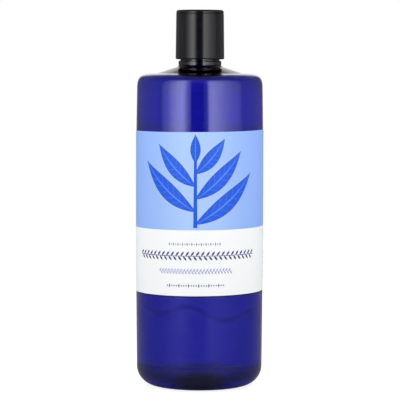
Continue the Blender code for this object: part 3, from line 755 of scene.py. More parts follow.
def leaf_material():
    """Deep blue ink with a paler midrib and side ribs and a dark outline, drawn from the leaf's own UV map.

    U runs from stalk to tip and V across from 0 to 1. Side ribs lie where a wave of U plus the distance
    from the midrib is near its crest.
    """
    finish = settings("finish")
    material, tree, shader = new_material(
        "deep_blue_ink", Roughness=0.4, IOR=1.45, Specular_IOR_Level=0.2
    )
    place_node = tree.nodes.new("ShaderNodeUVMap")
    parts = tree.nodes.new("ShaderNodeSeparateXYZ")
    tree.links.new(place_node.outputs["UV"], parts.inputs["Vector"])
    from_rib = node(tree, "ShaderNodeMath", operation="ABSOLUTE")
    centred = node(tree, "ShaderNodeMath", operation="SUBTRACT")
    centred.inputs[1].default_value = 0.5
    tree.links.new(parts.outputs["Y"], centred.inputs[0])
    tree.links.new(centred.outputs[0], from_rib.inputs[0])
    midrib = mapped(tree, from_rib.outputs[0], 0.03, 0.06, 1.0, 0.0)
    slant = node(tree, "ShaderNodeMath", operation="MULTIPLY_ADD")
    slant.inputs[1].default_value = -0.22
    tree.links.new(from_rib.outputs[0], slant.inputs[0])
    tree.links.new(parts.outputs["X"], slant.inputs[2])
    ribs = node(tree, "ShaderNodeMath", operation="MULTIPLY")
    ribs.inputs[1].default_value = 9 * math.tau
    tree.links.new(slant.outputs[0], ribs.inputs[0])
    wave = node(tree, "ShaderNodeMath", operation="COSINE")
    tree.links.new(ribs.outputs[0], wave.inputs[0])
    side = mapped(tree, wave.outputs[0], 0.93, 0.985, 0.0, 0.55)
    both = node(tree, "ShaderNodeMath", operation="MAXIMUM")
    tree.links.new(midrib, both.inputs[0])
    tree.links.new(side, both.inputs[1])
    ribbed = mixed(tree, both.outputs[0], tuple(finish.sprig), tuple(finish.vein))
    outline = mapped(tree, from_rib.outputs[0], 0.44, 0.47)
    tree.links.new(mixed(tree, outline, ribbed, tuple(finish.sprig_edge)), shader.inputs["Base Color"])
    add_bump(tree, shader, object_noise(tree, 1500.0), 0.000004)
    return material


def cap_material():
    """Black moulded plastic, satin, with a fine unevenness in its gloss."""
    finish = settings("finish")
    material, tree, shader = new_material("black_plastic", Specular_IOR_Level=0.29)
    black = tuple(finish.cap)
    paler = tuple(value * 1.5 for value in black)
    patch = mapped(tree, object_noise(tree, 220.0), 0.35, 0.65)
    tree.links.new(mixed(tree, patch, black, paler), shader.inputs["Base Color"])
    tree.links.new(mapped(tree, object_noise(tree, 500.0), 0.3, 0.7, 0.11, 0.16), shader.inputs["Roughness"])
    add_bump(tree, shader, object_noise(tree, 1400.0), 0.000006)
    return material


def foam_material():
    """White foam with fine closed cells, and painted shade in each cell's hollow."""
    material, tree, shader = new_material("white_foam", Roughness=0.8)
    place_node = tree.nodes.new("ShaderNodeTexCoord")
    cells = node(tree, "ShaderNodeTexVoronoi", Scale=2500.0)
    tree.links.new(place_node.outputs["Object"], cells.inputs["Vector"])
    white = tuple(settings("finish").foam)
    # Painted shade: darker towards each cell's middle, where the bump sinks it
    shade = mapped(tree, cells.outputs["Distance"], 0.0, 0.6)
    cell_shade = tuple(value * 0.9 for value in white)
    tree.links.new(mixed(tree, shade, cell_shade, white), shader.inputs["Base Color"])
    add_bump(tree, shader, cells.outputs["Distance"], 0.00008)
    return material


# Threads


def thread_rise(grid_turns, heights, first_z, first_turn, turns):
    """How far a screw thread stands out of its wall, for arrays of turns round the axis and of heights.

    The thread's middle climbs one pitch a turn. Its height falls off in a straight line from the half width
    of its crest to that of its root, and fades to nothing at both ends.
    """
    thread = settings("thread")
    rise = np.zeros(np.broadcast(grid_turns, heights).shape)
    for lap in range(-1, int(turns) + 2):
        turn = grid_turns + lap - first_turn
        middle = first_z + thread.pitch * (grid_turns + lap)
        slope = (thread.root_half - np.abs(heights - middle)) / (thread.root_half - thread.crest_half)
        fade = np.minimum(turn, turns - turn) / thread.fade_turns
        rise = np.maximum(rise, np.clip(slope, 0, 1) * np.clip(fade, 0, 1) * thread.height)
    return rise


def neck_thread_z():
    """Height of the middle of the neck thread's lower end."""
    thread = settings("thread")
    return lip_z() - thread.start_below_lip - thread.pitch * thread.neck_turns


def cap_thread_z():
    """Height at turn 0 of the cap thread's middle, which rests against the underside of the neck's."""
    thread = settings("thread")
    flank_gap = thread.root_half + thread.crest_half + thread.axial_play
    taper = (thread.root_half - thread.crest_half) * thread.radial_play / thread.height
    return neck_thread_z() - flank_gap + taper


# Operators


COLLAR_EDGE = 0.2 * MM


class AddBottle(bpy.types.Operator):
    """Adds the blown bottle: outside, threaded neck, bore and inside, as one closed surface"""

    bl_idname = "mesh.soap_bottle_wall"
    bl_label = "Bottle"

    def execute(self, context):
        body = settings("body")
        neck = settings("neck")
        thread = settings("thread")
        outside = outer_wall()
        inside = moved_in(outside, wall_depth(outside))
        collar_corner = (neck.collar_radius - neck.collar_round, collar_top() - neck.collar_round)
        collar = joined(
            (neck.collar_radius - neck.groove_depth, collar_bottom() - neck.groove_lip),
            (neck.collar_radius, collar_bottom()),
            line(
                (neck.collar_radius, collar_bottom() + COLLAR_EDGE),
                (neck.collar_radius, collar_corner[1]),
                6,
            ),
            arc(collar_corner, neck.collar_round, 0, 75, 8),
            (neck.radius, collar_top()),
        )
        finish_top = lip_z() - neck.lip_chamfer
        rows = round((finish_top - collar_top()) / thread.row_height)
        finish = line((neck.radius, collar_top()), (neck.radius, finish_top), rows)
        root_r, root_z = inside[-1]
        cone_slope = body.cone_rise / (body.cone_edge_radius - body.root_radius)
        throat_r = neck.bore_radius + neck.bore_round
        throat_z = root_z + cone_slope * (root_r - throat_r)
        bore = joined(
            (neck.radius - neck.lip_chamfer, lip_z()),
            line((neck.bore_radius, lip_z()), (neck.bore_radius, throat_z + neck.bore_round), 10),
            (throat_r, throat_z),
        )
        path = joined(outside, collar, finish, bore, inside[::-1])
        grid = turned(path, body.columns)
        on_finish = (path[:, 0] == finish[0, 0]) & (path[:, 1] > collar_top()) & (path[:, 1] < finish_top)
        turns = np.arange(body.columns) / body.columns
        rise = thread_rise(turns[None], path[:, 1:], neck_thread_z(), 0.0, thread.neck_turns)
        rise *= on_finish[:, None]
        grid = around(path[:, :1] + rise, path[:, 1:])
        piece = shell("bottle_wall", grid, [bottle_material()])
        place(piece, BOTTLE_BODY, "blue_pet", "bottle")
        return {"FINISHED"}


class AddSoap(bpy.types.Operator):
    """Adds the soap, which fills the bottle to its level"""

    bl_idname = "mesh.soap_bottle_soap"
    bl_label = "Soap"

    def execute(self, context):
        body = settings("body")
        soap = settings("soap")
        outside = outer_wall()
        edge = moved_in(outside, wall_depth(outside) - soap.overlap)
        below = int(np.argmax((edge[:, 1] >= soap.level) & (outside[:, 1] > body.panel_bottom)))
        share = (soap.level - edge[below - 1, 1]) / (edge[below, 1] - edge[below - 1, 1])
        rim_r = edge[below - 1, 0] + share * (edge[below, 0] - edge[below - 1, 0])
        path = joined(edge[:below], line((rim_r, soap.level), (0.0, soap.level), 12))
        piece = shell("soap", turned(path, body.columns), [soap_material()])
        place(piece, BOTTLE_BODY, "blue_soap", "liquid_soap")
        return {"FINISHED"}


class AddLabel(bpy.types.Operator):
    """Adds the label's white film and the pale blue field printed on it"""

    bl_idname = "mesh.soap_bottle_label"
    bl_label = "Label"

    def execute(self, context):
        label = settings("label")
        columns = settings("body").columns
        reach = math.pi * settings("body").panel_radius - label.open_width / 2
        s = np.linspace(-reach, reach, columns)
        film = ink_material("white_film", settings("finish").film)
        for name, low, layer, material, slot, cad in (
            ("label_film", label.bottom, 0, film, "white_film", "wrap_label"),
            ("label_field", label.field_bottom, 1, field_material(), "pale_blue_ink", "label_blue_field"),
        ):
            z = np.linspace(low, label.top, 12)
            flat = np.stack(np.broadcast_arrays(s[None, :], z[:, None]), axis=-1)
            if layer == 0:
                outer = on_panel(flat, 0)
                inner = on_panel(flat, -label.film / label.ink)
                points = np.stack([outer, inner]).reshape(-1, 3)
                piece = add_mesh(name, points, sheet_faces(1, 12, columns), [material])
            else:
                piece = printed(name, flat[None], layer, material)
            place(piece, BOTTLE_BODY, slot, cad)
        return {"FINISHED"}


LEAF_ROWS = 26
LEAF_COLUMNS = 7
LEAF_TIP_HALF = 0.02 * MM
# A place on a leaf's UV map that is clear of its ribs and outline
PLAIN_INK_UV = (0.0, 0.8)


def leaf(root, tilt, curl, reach, stalk_half, belly_half):
    """A leaf's grid of (s, z) points, and its UV map.

    The spine leaves its root at the tilt from upright, and its heading turns by half the curl on its way out.
    The half width is that of the stalk, which runs out towards the tip, plus a sine arch.
    """
    sprig = settings("sprig")
    t = np.linspace(0, 1, LEAF_ROWS)[:, None]
    heading = tilt + curl * t / 2
    spine = np.stack([np.sin(heading), np.cos(heading)], axis=-1) * (reach * t)[..., None]
    side = np.stack([np.cos(heading), -np.sin(heading)], axis=-1)
    half = stalk_half * (1 - t) + belly_half * np.sin(math.pi * t**sprig.belly_power)
    across = np.linspace(-1, 1, LEAF_COLUMNS)[None, :]
    flat = np.array(root) + spine + side * (np.maximum(half, LEAF_TIP_HALF) * across)[..., None]
    uv = np.stack(np.broadcast_arrays(t, across / 2 + 0.5), axis=-1)
    return flat, uv


class AddSprig(bpy.types.Operator):
    """Adds the leaf sprig printed on the pale field: leaves on both sides of a stem, and one on top"""

    bl_idname = "mesh.soap_bottle_sprig"
    bl_label = "Leaf sprig"

    def execute(self, context):
        sprig = settings("sprig")
        label = settings("label")
        foot = label.field_bottom + sprig.margin
        first = foot + sprig.lowest_root
        patches = []
        for side, start, leaves in ((1, 0.0, sprig.pairs), (-1, 0.5, sprig.pairs - 1)):
            for step in range(leaves):
                rank = start + step
                size = 1 - (rank / (sprig.pairs + 0.5)) ** sprig.shrink_power
                flat, uv = leaf(
                    (sprig.stem_half * 0.6, first + rank * sprig.pitch),
                    sprig.tilt - sprig.tilt_step * rank,
                    sprig.curl,
                    sprig.leaf_length * size,
                    sprig.stalk_half,
                    sprig.leaf_half * (1 + size) / 2,
                )
                patches.append((flat * (side, 1), uv))
        crown_root = first + (sprig.pairs - 0.5) * sprig.pitch
        crown_reach = label.top - sprig.margin - crown_root
        crown_half = sprig.leaf_half * sprig.crown_fullness
        patches.append(leaf((0.0, crown_root), 0.0, 0.0, crown_reach, sprig.stem_half, crown_half))
        t = np.linspace(0, 1, LEAF_ROWS)[:, None]
        stem_half = sprig.stem_half * (1.15 - 0.35 * t)
        stem_s = stem_half * np.linspace(-1, 1, LEAF_COLUMNS)
        stem_z = np.repeat(foot + t * (crown_root - foot), LEAF_COLUMNS, axis=1)
        stem = np.stack([stem_s, stem_z], axis=-1)
        leaves = np.stack([flat for flat, _ in patches])
        leaf_uv = np.stack([uv for _, uv in patches])
        ink = leaf_material()
        piece = printed("leaf_sprig", leaves, 2, ink, leaf_uv)
        place(piece, BOTTLE_BODY, "deep_blue_ink", "label_leaf_sprig")
        stem_uv = np.full((1, LEAF_ROWS, LEAF_COLUMNS, 2), PLAIN_INK_UV)
        stem_piece = printed("sprig_stem", stem[None], 3, ink, stem_uv)
        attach(stem_piece, BOTTLE_BODY)
        return {"FINISHED"}


GARLAND_LEAN = math.radians(38)


def leaflets(roots, headings, lengths, halves, rows=7, columns=3):
    """Small straight leaves as patches of (s, z) points. The half width of each is a sine arch."""
    t = np.linspace(0, 1, rows)[None, :, None, None]
    across = np.linspace(-1, 1, columns)[None, None, :, None]
    heading = np.asarray(headings)[:, None, None]
    along = np.stack([np.sin(heading), np.cos(heading)], axis=-1)
    side = np.stack([np.cos(heading), -np.sin(heading)], axis=-1)
    long = np.asarray(lengths)[:, None, None, None]
    half = np.asarray(halves)[:, None, None, None] * np.maximum(np.sin(math.pi * t), 0.04)
    return np.asarray(roots)[:, None, None, :] + along * long * t + side * half * across


def beads(middle_z, width, pitch, heights, half):
    """A row of upright pointed beads of one width. Their heights repeat in turn."""
    places = np.arange(-width / 2, width / 2 + 1e-9, pitch)
    tall = np.resize(heights, len(places))
    roots = np.stack([places, middle_z - tall / 2], axis=1)
    return leaflets(roots, np.zeros(len(places)), tall, np.full(len(places), half))


def garland(middle_z, width, leaf_length, half, pitch):
    """A row of small leaves that point by turns up and down along a line, all leaning the same way."""
    places = np.arange(-width / 2, width / 2 - leaf_length * math.sin(GARLAND_LEAN), pitch / 2)
    up = np.arange(len(places)) % 2 == 0
    headings = np.where(up, GARLAND_LEAN, math.pi - GARLAND_LEAN)
    return leaflets(
        np.stack([places, np.full(len(places), middle_z)], axis=1),
        headings,
        np.full(len(places), leaf_length),
        np.full(len(places), half),
    )


def in_metres(row, sizes):
    """The patches that beads, garland or stalk makes from sizes in millimetres."""
    return row(*(np.array(size) * MM for size in sizes))


def stalk(middle_z, width, half):
    """A straight level line, as one patch."""
    s = np.linspace(-width / 2, width / 2, 60)[None, :]
    z = middle_z + np.array([-half, half])[:, None]
    return np.stack(np.broadcast_arrays(s, z), axis=-1)[None]


# Lines of ornament, in millimetres. Beads have a middle height, width, pitch, heights in turn and half width.
# Garlands have a middle height, width, leaf length, half width and pitch.
ORNAMENT = {
    "grey": (beads, 95.2, 34.3, 1.5, (2.3, 1.0), 0.36),
    "navy": (garland, 87.7, 85.0, 3.7, 0.62, 3.3),
    "lilac": (garland, 77.9, 49.0, 2.3, 0.38, 2.1),
    "slate": (beads, 68.8, 37.0, 1.6, (1.1, 2.6, 1.1, 1.1), 0.42),
}
STALK_HALVES = {"navy": 0.2, "lilac": 0.14}
SIDE_WIDTH = 40.0
SIDE_BEADS = (1.3, (1.5, 0.9), 0.32)
# On each side of the label: how far round it lies, its garland, and the heights of its rows of beads
SIDES = {
    "left": (-82.0, (89.2, SIDE_WIDTH, 2.0, 0.4, 2.1), (83.0, 77.4, 74.2, 71.0)),
    "right": (82.0, (97.6, SIDE_WIDTH, 5.6, 0.9, 4.6), (86.2, 83.0, 79.8, 74.2, 71.0)),
}


class AddPrint(bpy.types.Operator):
    """Adds the four lines of ornament under the field, and small rows of it on the label's sides"""

    bl_idname = "mesh.soap_bottle_print"
    bl_label = "Lines of ornament"

    def execute(self, context):
        finish = settings("finish")
        for name, (row, *sizes) in ORNAMENT.items():
            ink = ink_material(name + "_ink", getattr(finish, name))
            piece = printed("ornament_" + name, in_metres(row, sizes), 1, ink)
            place(piece, BOTTLE_BODY, name + "_ink", "print_bar_" + name)
        for name, half in STALK_HALVES.items():
            middle, width = ORNAMENT[name][1:3]
            flat = in_metres(stalk, (middle, width, half))
            piece = printed("stalk_" + name, flat, 2, bpy.data.materials[name + "_ink"])
            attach(piece, BOTTLE_BODY)
        for side, (round_to, leaves, heights) in SIDES.items():
            rows = [in_metres(beads, (height, SIDE_WIDTH, *SIDE_BEADS)) for height in heights]
            flat = np.concatenate([in_metres(garland, leaves), *rows]) + np.array([round_to * MM, 0.0])
            piece = printed("ornament_" + side, flat, 1, bpy.data.materials["grey_ink"])
            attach(piece, BOTTLE_BODY)
        return {"FINISHED"}


class AddLiner(bpy.types.Operator):
    """Adds the foam ring between the bottle's lip and the cap's deck"""

    bl_idname = "mesh.soap_bottle_liner"
    bl_label = "Liner"

    def execute(self, context):
        cap = settings("cap")
        inner = settings("neck").bore_radius
        outer = cap.liner_radius
        low = liner_bottom()
        high = low + cap.liner
        edge = 0.15 * MM
        path = joined(
            line((inner, low), (outer - edge, low), 6),
            arc((outer - edge, low + edge), edge, -90, 0, 3),
            arc((outer - edge, high - edge), edge, 0, 90, 3),
            line((outer - edge, high), (inner, high), 6),
        )
        piece = shell("foam_liner", turned(path, cap.columns), [foam_material()], closed=True)
        place(piece, LINER_BODY, "white_foam", "cap_liner")
        return {"FINISHED"}


# How far a row of faces lies from a rounded edge that it holds, and a cutter reaches out of what it cuts
EDGE_HOLD = 1 * MM
CUTTER_REACH = 1 * MM


class AddCap(bpy.types.Operator):
    """Adds the cap's shell with its fine ring, inner thread, deck, pouring post and disc chamber"""

    bl_idname = "mesh.soap_bottle_cap"
    bl_label = "Cap"

    def execute(self, context):
        cap = settings("cap")
        thread = settings("thread")
        low = cap_bottom()
        top = cap_top()
        draft = (cap.bottom_radius - cap.top_radius) / cap.height
        ring_z = top - cap.ring_below_top
        ring_r = cap.bottom_radius - draft * (ring_z - low)
        t = np.linspace(-1, 1, 9)
        ring = np.stack(
            [ring_r - cap.ring_depth * np.cos(t * math.pi / 2), ring_z + t * cap.ring_height / 2], axis=1
        )
        deck_low = deck_bottom()
        deck_high = deck_low + cap.deck
        post_top = pivot_z() - settings("disc").barrel_radius - cap.seat_gap
        skirt_r = settings("neck").radius + thread.height + thread.radial_play
        rows = round((deck_low - low) / thread.row_height)
        skirt = line((skirt_r, deck_low), (skirt_r, low), rows)
        inner_round = 0.35 * MM
        path = joined(
            arc((cap.bottom_radius - cap.bottom_round, low + cap.bottom_round), cap.bottom_round, -90, 0, 6),
            line(
                (cap.bottom_radius - draft * cap.bottom_round, low + 2 * EDGE_HOLD),
                (ring_r, ring_z - EDGE_HOLD),
                14,
            ),
            ring,
            arc((cap.top_radius - cap.top_round, top - cap.top_round), cap.top_round, 0, 90, 12),
            arc((cap.chamber_radius + inner_round, top - inner_round), inner_round, 90, 180, 5),
            line((cap.chamber_radius, top - EDGE_HOLD), (cap.chamber_radius, deck_high), 6),
            line((cap.chamber_radius, deck_high), (cap.post_radius, deck_high), 6),
            line((cap.post_radius, deck_high), (cap.post_radius, post_top), 4),
            line((cap.post_bore, post_top), (cap.post_bore, deck_low), 4),
            line((cap.post_bore, deck_low), (skirt_r, deck_low), 6),
            skirt,
        )
        on_skirt = (path[:, 0] == skirt[0, 0]) & (path[:, 1] > low) & (path[:, 1] < deck_low)
        turns = np.arange(cap.columns) / cap.columns
        rise = thread_rise(
            turns[None], path[:, 1:], cap_thread_z(), thread.cap_first_turn, thread.cap_turns
        )
        grid = around(path[:, :1] - rise * on_skirt[:, None], path[:, 1:])
        piece = shell("cap_body", grid, [cap_material()], closed=True)
        disc = settings("disc")
        hole_end = disc.radius + disc.pin_reach + disc.pin_play
        for side in (-1, 1):
            points, faces = rod(
                (side * (cap.chamber_radius - CUTTER_REACH), 0.0, pivot_z()),
                (side * hole_end, 0.0, pivot_z()),
                disc.pin_radius + disc.pin_play,
            )
            cut_away(piece, add_mesh("pin_hole", points, faces, [piece.data.materials[0]]))
        place(piece, CAP_BODY, "black_plastic", "cap_shell")
        return {"FINISHED"}


def rod(start, end, radius, columns=32, hollow=0.0):
    """Points and faces of a round rod between two points, or of a tube where hollow is its bore's radius."""
    start = np.array(start)
    along = np.array(end) - start
    reach = np.linalg.norm(along)
    along = along / reach
    across = np.cross(along, (0.0, 0.0, 1.0))
    over = np.cross(across, along)
    inner = np.full(2, hollow)
    r = np.concatenate([[inner[0]], [radius, radius], [inner[1]]])
    steps = np.array([0.0, 0.0, reach, reach])
    turn = np.arange(columns) * math.tau / columns
    ring = np.cos(turn)[:, None] * across + np.sin(turn)[:, None] * over
    points = start + steps[:, None, None] * along + r[:, None, None] * ring
    faces = grid_faces(4, columns, wrap_rows=hollow > 0, wrap_columns=True)
    return points.reshape(-1, 3), faces


def cut_away(piece, cutter):
    """Cuts one object's shape out of another's, for good, and removes the cutter."""
    step = piece.modifiers.new("cut", "BOOLEAN")
    step.operation = "DIFFERENCE"
    step.solver = "EXACT"
    step.object = cutter
    bpy.context.view_layer.update()
    result = bpy.data.meshes.new_from_object(piece.evaluated_get(bpy.context.evaluated_depsgraph_get()))
    piece.modifiers.clear()
    piece.data = result
    bpy.data.objects.remove(cutter)


SPOUT_PLAY = 0.01 * MM
DISH_STEEPNESS = 2.2


class AddDisc(bpy.types.Operator):
    """Adds the tilting disc with its finger dish, skirt, spout hole, channel, barrel and pins"""

    bl_idname = "mesh.soap_bottle_disc"
    bl_label = "Disc"

    def execute(self, context):
        disc = settings("disc")
        pivot = pivot_z()
        top = pivot + disc.above_pivot
        plate_low = top - disc.plate
        low = pivot - disc.below_pivot
        inner = disc.radius - disc.skirt
        corner = (disc.radius - disc.edge_round, top - disc.edge_round)
        path = joined(
            line((0.0, plate_low), (inner, plate_low), 8),
            line((inner, plate_low), (inner, low), 4),
            line((disc.radius, low), (disc.radius, corner[1]), 8),
            arc(corner, disc.edge_round, 0, 90, 7),
            line((corner[0], top), (0.0, top), 40),
        )
        grid = turned(path, settings("cap").columns)
        across = grid[..., 0] / disc.dish_across
        along = (grid[..., 1] - disc.dish_back) / disc.dish_along
        depth = np.clip(1 - np.hypot(across, along), 0, 1)
        depth = depth**2 * (3 - 2 * depth)
        on_top = path[:, 1:] > top - SAME_POINT
        grid[..., 2] -= np.minimum(depth * DISH_STEEPNESS, 1.0) * disc.dish_depth * on_top
        cap_black = bpy.data.materials["black_plastic"]
        piece = shell("disc_top", grid, [cap_black])
        spout_front = -(disc.radius + CUTTER_REACH)
        hole, faces = rod((0, -disc.radius / 2, pivot), (0, spout_front, pivot), disc.spout_bore)
        cut_away(piece, add_mesh("spout_hole", hole, faces, []))
        place(piece, DISC_BODY, "black_plastic", "cap_disc")
        half_barrel = disc.barrel_length / 2
        pin_start = disc.radius - disc.skirt / 2
        pin_end = disc.radius + disc.pin_reach
        inside = -(disc.radius - disc.skirt - SPOUT_PLAY)
        spout = (disc.spout_radius, disc.spout_bore)
        for name, start, end, radius, hollow in (
            ("disc_barrel", (-half_barrel, 0, pivot), (half_barrel, 0, pivot), disc.barrel_radius, 0.0),
            ("disc_spout", (0, -disc.barrel_radius, pivot), (0, inside, pivot), *spout),
            ("disc_pin_left", (-pin_start, 0, pivot), (-pin_end, 0, pivot), disc.pin_radius, 0.0),
            ("disc_pin_right", (pin_start, 0, pivot), (pin_end, 0, pivot), disc.pin_radius, 0.0),
        ):
            points, faces = rod(start, end, radius, hollow=hollow)
            part = add_mesh(name, points, faces, [cap_black])
            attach(part, DISC_BODY)
        return {"FINISHED"}


# Studio


def view_direction(azimuth):
    """The level direction from the bottle at that azimuth: 0 is -Y, where the camera looks along +Y."""
    return Vector((math.sin(azimuth), -math.cos(azimuth), 0.0))


class AddCamera(bpy.types.Operator):
    """Adds the camera at the photograph's place"""

    bl_idname = "object.soap_bottle_camera"
    bl_label = "Camera"

    def execute(self, context):
        studio = settings("studio")
        data = bpy.data.cameras.new("camera")
        data.sensor_width = 36.0
        data.lens = studio.lens
        data.shift_x = studio.shift
        data.clip_start = 0.05
        data.clip_end = 50.0
        camera = bpy.data.objects.new("camera", data)
        place_at = view_direction(studio.orbit) * studio.distance + Vector((0, 0, studio.eye_height))
        turn = Matrix.Rotation(studio.orbit, 4, "Z") @ Matrix.Rotation(math.pi / 2 - studio.pitch, 4, "X")
        camera.matrix_world = Matrix.Translation(place_at) @ turn @ Matrix.Rotation(studio.roll, 4, "Z")
        context.scene.collection.objects.link(camera)
        context.scene.camera = camera
        return {"FINISHED"}


def add_ramp(tree, source, stops):
    """A grey ramp through stops of (place from 0 to 1, value), as a socket."""
    ramp = tree.nodes.new("ShaderNodeValToRGB")
    tree.links.new(source, ramp.inputs["Fac"])
    elements = ramp.color_ramp.elements
    for step, (position, value) in enumerate(stops):
        if step >= len(elements):
            elements.new(position)
        elements[step].position = position
        elements[step].color = (value, value, value, 1.0)
    return ramp.outputs["Color"]


# Share of each softbox's brightness across its width, from its inner to its outer edge
BOX_FALL = {
    "left": ((0.0, 0.0), (0.15, 0.4), (0.29, 1.0), (0.4, 1.0), (0.6, 0.63), (0.78, 0.28), (1.0, 0.1)),
    "right": ((0.0, 0.03), (0.11, 0.13), (0.19, 0.97), (0.28, 1.0), (0.5, 0.61), (0.74, 0.31), (1.0, 0.06)),
}


def add_softbox(side, azimuth, width, radiance):
    """A tall area light that faces the bottle. Its brightness falls off across it and over its upper half."""
    studio = settings("studio")
    data = bpy.data.lights.new("softbox_" + side, "AREA")
    data.shape = "RECTANGLE"
    data.size = width
    data.size_y = studio.box_height
    data.energy = radiance * math.pi * width * studio.box_height
    data.use_nodes = True
    tree = data.node_tree
    geometry = tree.nodes.new("ShaderNodeNewGeometry")
    parts = tree.nodes.new("ShaderNodeSeparateXYZ")
    tree.links.new(geometry.outputs["Parametric"], parts.inputs["Vector"])
    outwards = mapped(tree, parts.outputs["X"], 0.0, 1.0, *((1.0, 0.0) if azimuth < 0 else (0.0, 1.0)))
    across = add_ramp(tree, outwards, BOX_FALL[side])
    upwards = mapped(tree, parts.outputs["Y"], 0.3, 1.0, 1.0, 0.0, smooth=True)
    both = node(tree, "ShaderNodeMath", operation="MULTIPLY")
    tree.links.new(across, both.inputs[0])
    tree.links.new(upwards, both.inputs[1])
    tree.links.new(both.outputs[0], tree.nodes["Emission"].inputs["Strength"])
    light = bpy.data.objects.new(data.name, data)
    middle = Vector((0, 0, studio.box_bottom + studio.box_height / 2))
    direction = view_direction(studio.orbit + azimuth)
    light.matrix_world = Matrix.Translation(direction * studio.box_distance + middle) @ (
        direction.to_track_quat("Z", "Y").to_matrix().to_4x4()
    )
    light.visible_camera = False
    light.visible_diffuse = False
    bpy.context.scene.collection.objects.link(light)
    return light


# Brightness of the room as gloss shows it, by minus the cosine of the direction's level angle from the camera
ROOM = (
    (-1.0, 0.01),
    (-0.5, 0.02),
    (-0.3, 0.35),
    (-0.15, 0.5),
    (0.12, 0.46),
    (0.42, 0.38),
    (0.64, 0.3),
    (0.87, 0.2),
    (0.96, 0.2),
    (0.98, 1.0),
    (1.0, 1.0),
)


def set_world():
    """A white room for the camera and through glass, dimmer for soft light.

    Gloss sees it dark on the camera's side, grey to the sides, white straight behind, and dim overhead.
    """
    studio = settings("studio")
    world = bpy.data.worlds.new("studio")
    world.use_nodes = True
    bpy.context.scene.world = world
    tree = world.node_tree
    background = tree.nodes["Background"]
    coordinates = tree.nodes.new("ShaderNodeTexCoord")
    turn = node(tree, "ShaderNodeVectorRotate", rotation_type="Z_AXIS")
    turn.inputs["Angle"].default_value = -studio.orbit
    tree.links.new(coordinates.outputs["Generated"], turn.inputs["Vector"])
    parts = tree.nodes.new("ShaderNodeSeparateXYZ")
    tree.links.new(turn.outputs["Vector"], parts.inputs["Vector"])
    flat = node(tree, "ShaderNodeVectorMath", operation="MULTIPLY")
    flat.inputs[1].default_value = (1.0, 1.0, 0.0)
    tree.links.new(turn.outputs["Vector"], flat.inputs[0])
    level = node(tree, "ShaderNodeVectorMath", operation="NORMALIZE")
    tree.links.new(flat.outputs[0], level.inputs[0])
    level_parts = tree.nodes.new("ShaderNodeSeparateXYZ")
    tree.links.new(level.outputs[0], level_parts.inputs["Vector"])
    behind = mapped(tree, level_parts.outputs["Y"], -1.0, 1.0)
    room = add_ramp(tree, behind, [((cosine + 1) / 2, value) for cosine, value in ROOM])
    upper = mapped(tree, parts.outputs["Z"], 0.36, 0.5, smooth=True)
    gloss = node(tree, "ShaderNodeMix", data_type="FLOAT")
    tree.links.new(upper, gloss.inputs[0])
    tree.links.new(room, gloss.inputs[2])
    gloss.inputs[3].default_value = studio.overhead
    soft = mapped(tree, parts.outputs["Y"], -0.5, 0.1, studio.ambient_front, studio.ambient, smooth=True)
    path = tree.nodes.new("ShaderNodeLightPath")
    seen = node(tree, "ShaderNodeMath", operation="MAXIMUM")
    tree.links.new(path.outputs["Is Camera Ray"], seen.inputs[0])
    tree.links.new(path.outputs["Is Transmission Ray"], seen.inputs[1])
    with_gloss = node(tree, "ShaderNodeMix", data_type="FLOAT")
    tree.links.new(path.outputs["Is Glossy Ray"], with_gloss.inputs[0])
    tree.links.new(soft, with_gloss.inputs[2])
    tree.links.new(gloss.outputs[0], with_gloss.inputs[3])
    total = node(tree, "ShaderNodeMix", data_type="FLOAT")
    tree.links.new(seen.outputs[0], total.inputs[0])
    tree.links.new(with_gloss.outputs[0], total.inputs[2])
    total.inputs[3].default_value = 1.0
    tree.links.new(total.outputs[0], background.inputs["Strength"])
    background.inputs["Color"].default_value = (1, 1, 1, 1)


# Distances from the bottle's axis at which the floor ends being under it, and is open
UNDER_TO_OPEN = (30 * MM, 100 * MM)


def floor_material():
    """White satin board, lifted to white for the camera. Through glass it glows too, most under the bottle,
    which is painted light where the bottle's shadow falls.
    """
    studio = settings("studio")
    white = (studio.floor_albedo,) * 3 + (1.0,)
    material, tree, shader = new_material(
        "studio_floor", Base_Color=white, Roughness=0.6, Specular_IOR_Level=0.3
    )
    path = tree.nodes.new("ShaderNodeLightPath")
    place_node = tree.nodes.new("ShaderNodeTexCoord")
    away = node(tree, "ShaderNodeVectorMath", operation="LENGTH")
    tree.links.new(place_node.outputs["Object"], away.inputs[0])
    lifts = (studio.under_lift, studio.glass_lift)
    # Painted light: seen through glass the floor glows, most under the bottle, where its shadow falls
    glow_through_glass = mapped(tree, away.outputs["Value"], *UNDER_TO_OPEN, *lifts, smooth=True)
    through = node(tree, "ShaderNodeMath", operation="MULTIPLY")
    tree.links.new(path.outputs["Is Transmission Ray"], through.inputs[0])
    tree.links.new(glow_through_glass, through.inputs[1])
    lift = node(tree, "ShaderNodeMath", operation="MULTIPLY_ADD")
    lift.inputs[1].default_value = studio.floor_lift
    tree.links.new(path.outputs["Is Camera Ray"], lift.inputs[0])
    tree.links.new(through.outputs[0], lift.inputs[2])
    shader.inputs["Emission Color"].default_value = (1, 1, 1, 1)
    tree.links.new(lift.outputs[0], shader.inputs["Emission Strength"])
    return material


FLOOR_DEPTH = 0.01 * MM


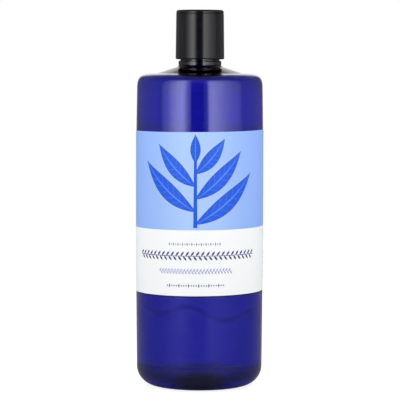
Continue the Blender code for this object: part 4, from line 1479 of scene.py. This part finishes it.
class AddStudio(bpy.types.Operator):
    """Adds the white floor, the white room and the two softboxes"""

    bl_idname = "object.soap_bottle_studio"
    bl_label = "Studio"

    def execute(self, context):
        studio = settings("studio")
        path = line((0.0, -FLOOR_DEPTH), (studio.floor_radius, -FLOOR_DEPTH), 8)
        floor = shell("floor", turned(path, 96), [floor_material()])
        if floor.data.polygons[0].normal.z < 0:
            floor.data.flip_normals()
        for side in ("left", "right"):
            values = [getattr(studio, side + "_" + part) for part in ("angle", "width", "radiance")]
            add_softbox(side, *values)
        set_world()
        context.scene.view_settings.view_transform = "Standard"
        return {"FINISHED"}


OPERATORS = (
    AddCamera,
    AddStudio,
    AddBottle,
    AddSoap,
    AddLabel,
    AddSprig,
    AddPrint,
    AddLiner,
    AddCap,
    AddDisc,
)


class SoapBottlePanel(bpy.types.Panel):
    """Lists the pieces of the bottle and their settings"""

    bl_idname = "VIEW3D_PT_soap_bottle"
    bl_label = "Soap Bottle"
    bl_space_type = "VIEW_3D"
    bl_region_type = "UI"
    bl_category = "Soap Bottle"

    def draw(self, context):
        for operator in OPERATORS:
            self.layout.operator(operator.bl_idname)
        for name in SETTINGS:
            group = getattr(context.scene, name)
            box = self.layout.box()
            for setting in group.bl_rna.properties.keys():
                if setting not in ("rna_type", "name"):
                    box.prop(group, setting)


def register():
    for kind in (*SETTINGS.values(), *OPERATORS, SoapBottlePanel):
        bpy.utils.register_class(kind)
    for name, group in SETTINGS.items():
        setattr(bpy.types.Scene, name, PointerProperty(type=group))


def unregister():
    for name in SETTINGS:
        delattr(bpy.types.Scene, name)
    for kind in reversed((*SETTINGS.values(), *OPERATORS, SoapBottlePanel)):
        bpy.utils.unregister_class(kind)


def main():
    register()
    bpy.ops.object.soap_bottle_camera()
    bpy.ops.object.soap_bottle_studio()
    bpy.ops.mesh.soap_bottle_wall()
    bpy.ops.mesh.soap_bottle_soap()
    bpy.ops.mesh.soap_bottle_label()
    bpy.ops.mesh.soap_bottle_sprig()
    bpy.ops.mesh.soap_bottle_print()
    bpy.ops.mesh.soap_bottle_liner()
    bpy.ops.mesh.soap_bottle_cap()
    bpy.ops.mesh.soap_bottle_disc()


if __name__ == "__main__":
    main()
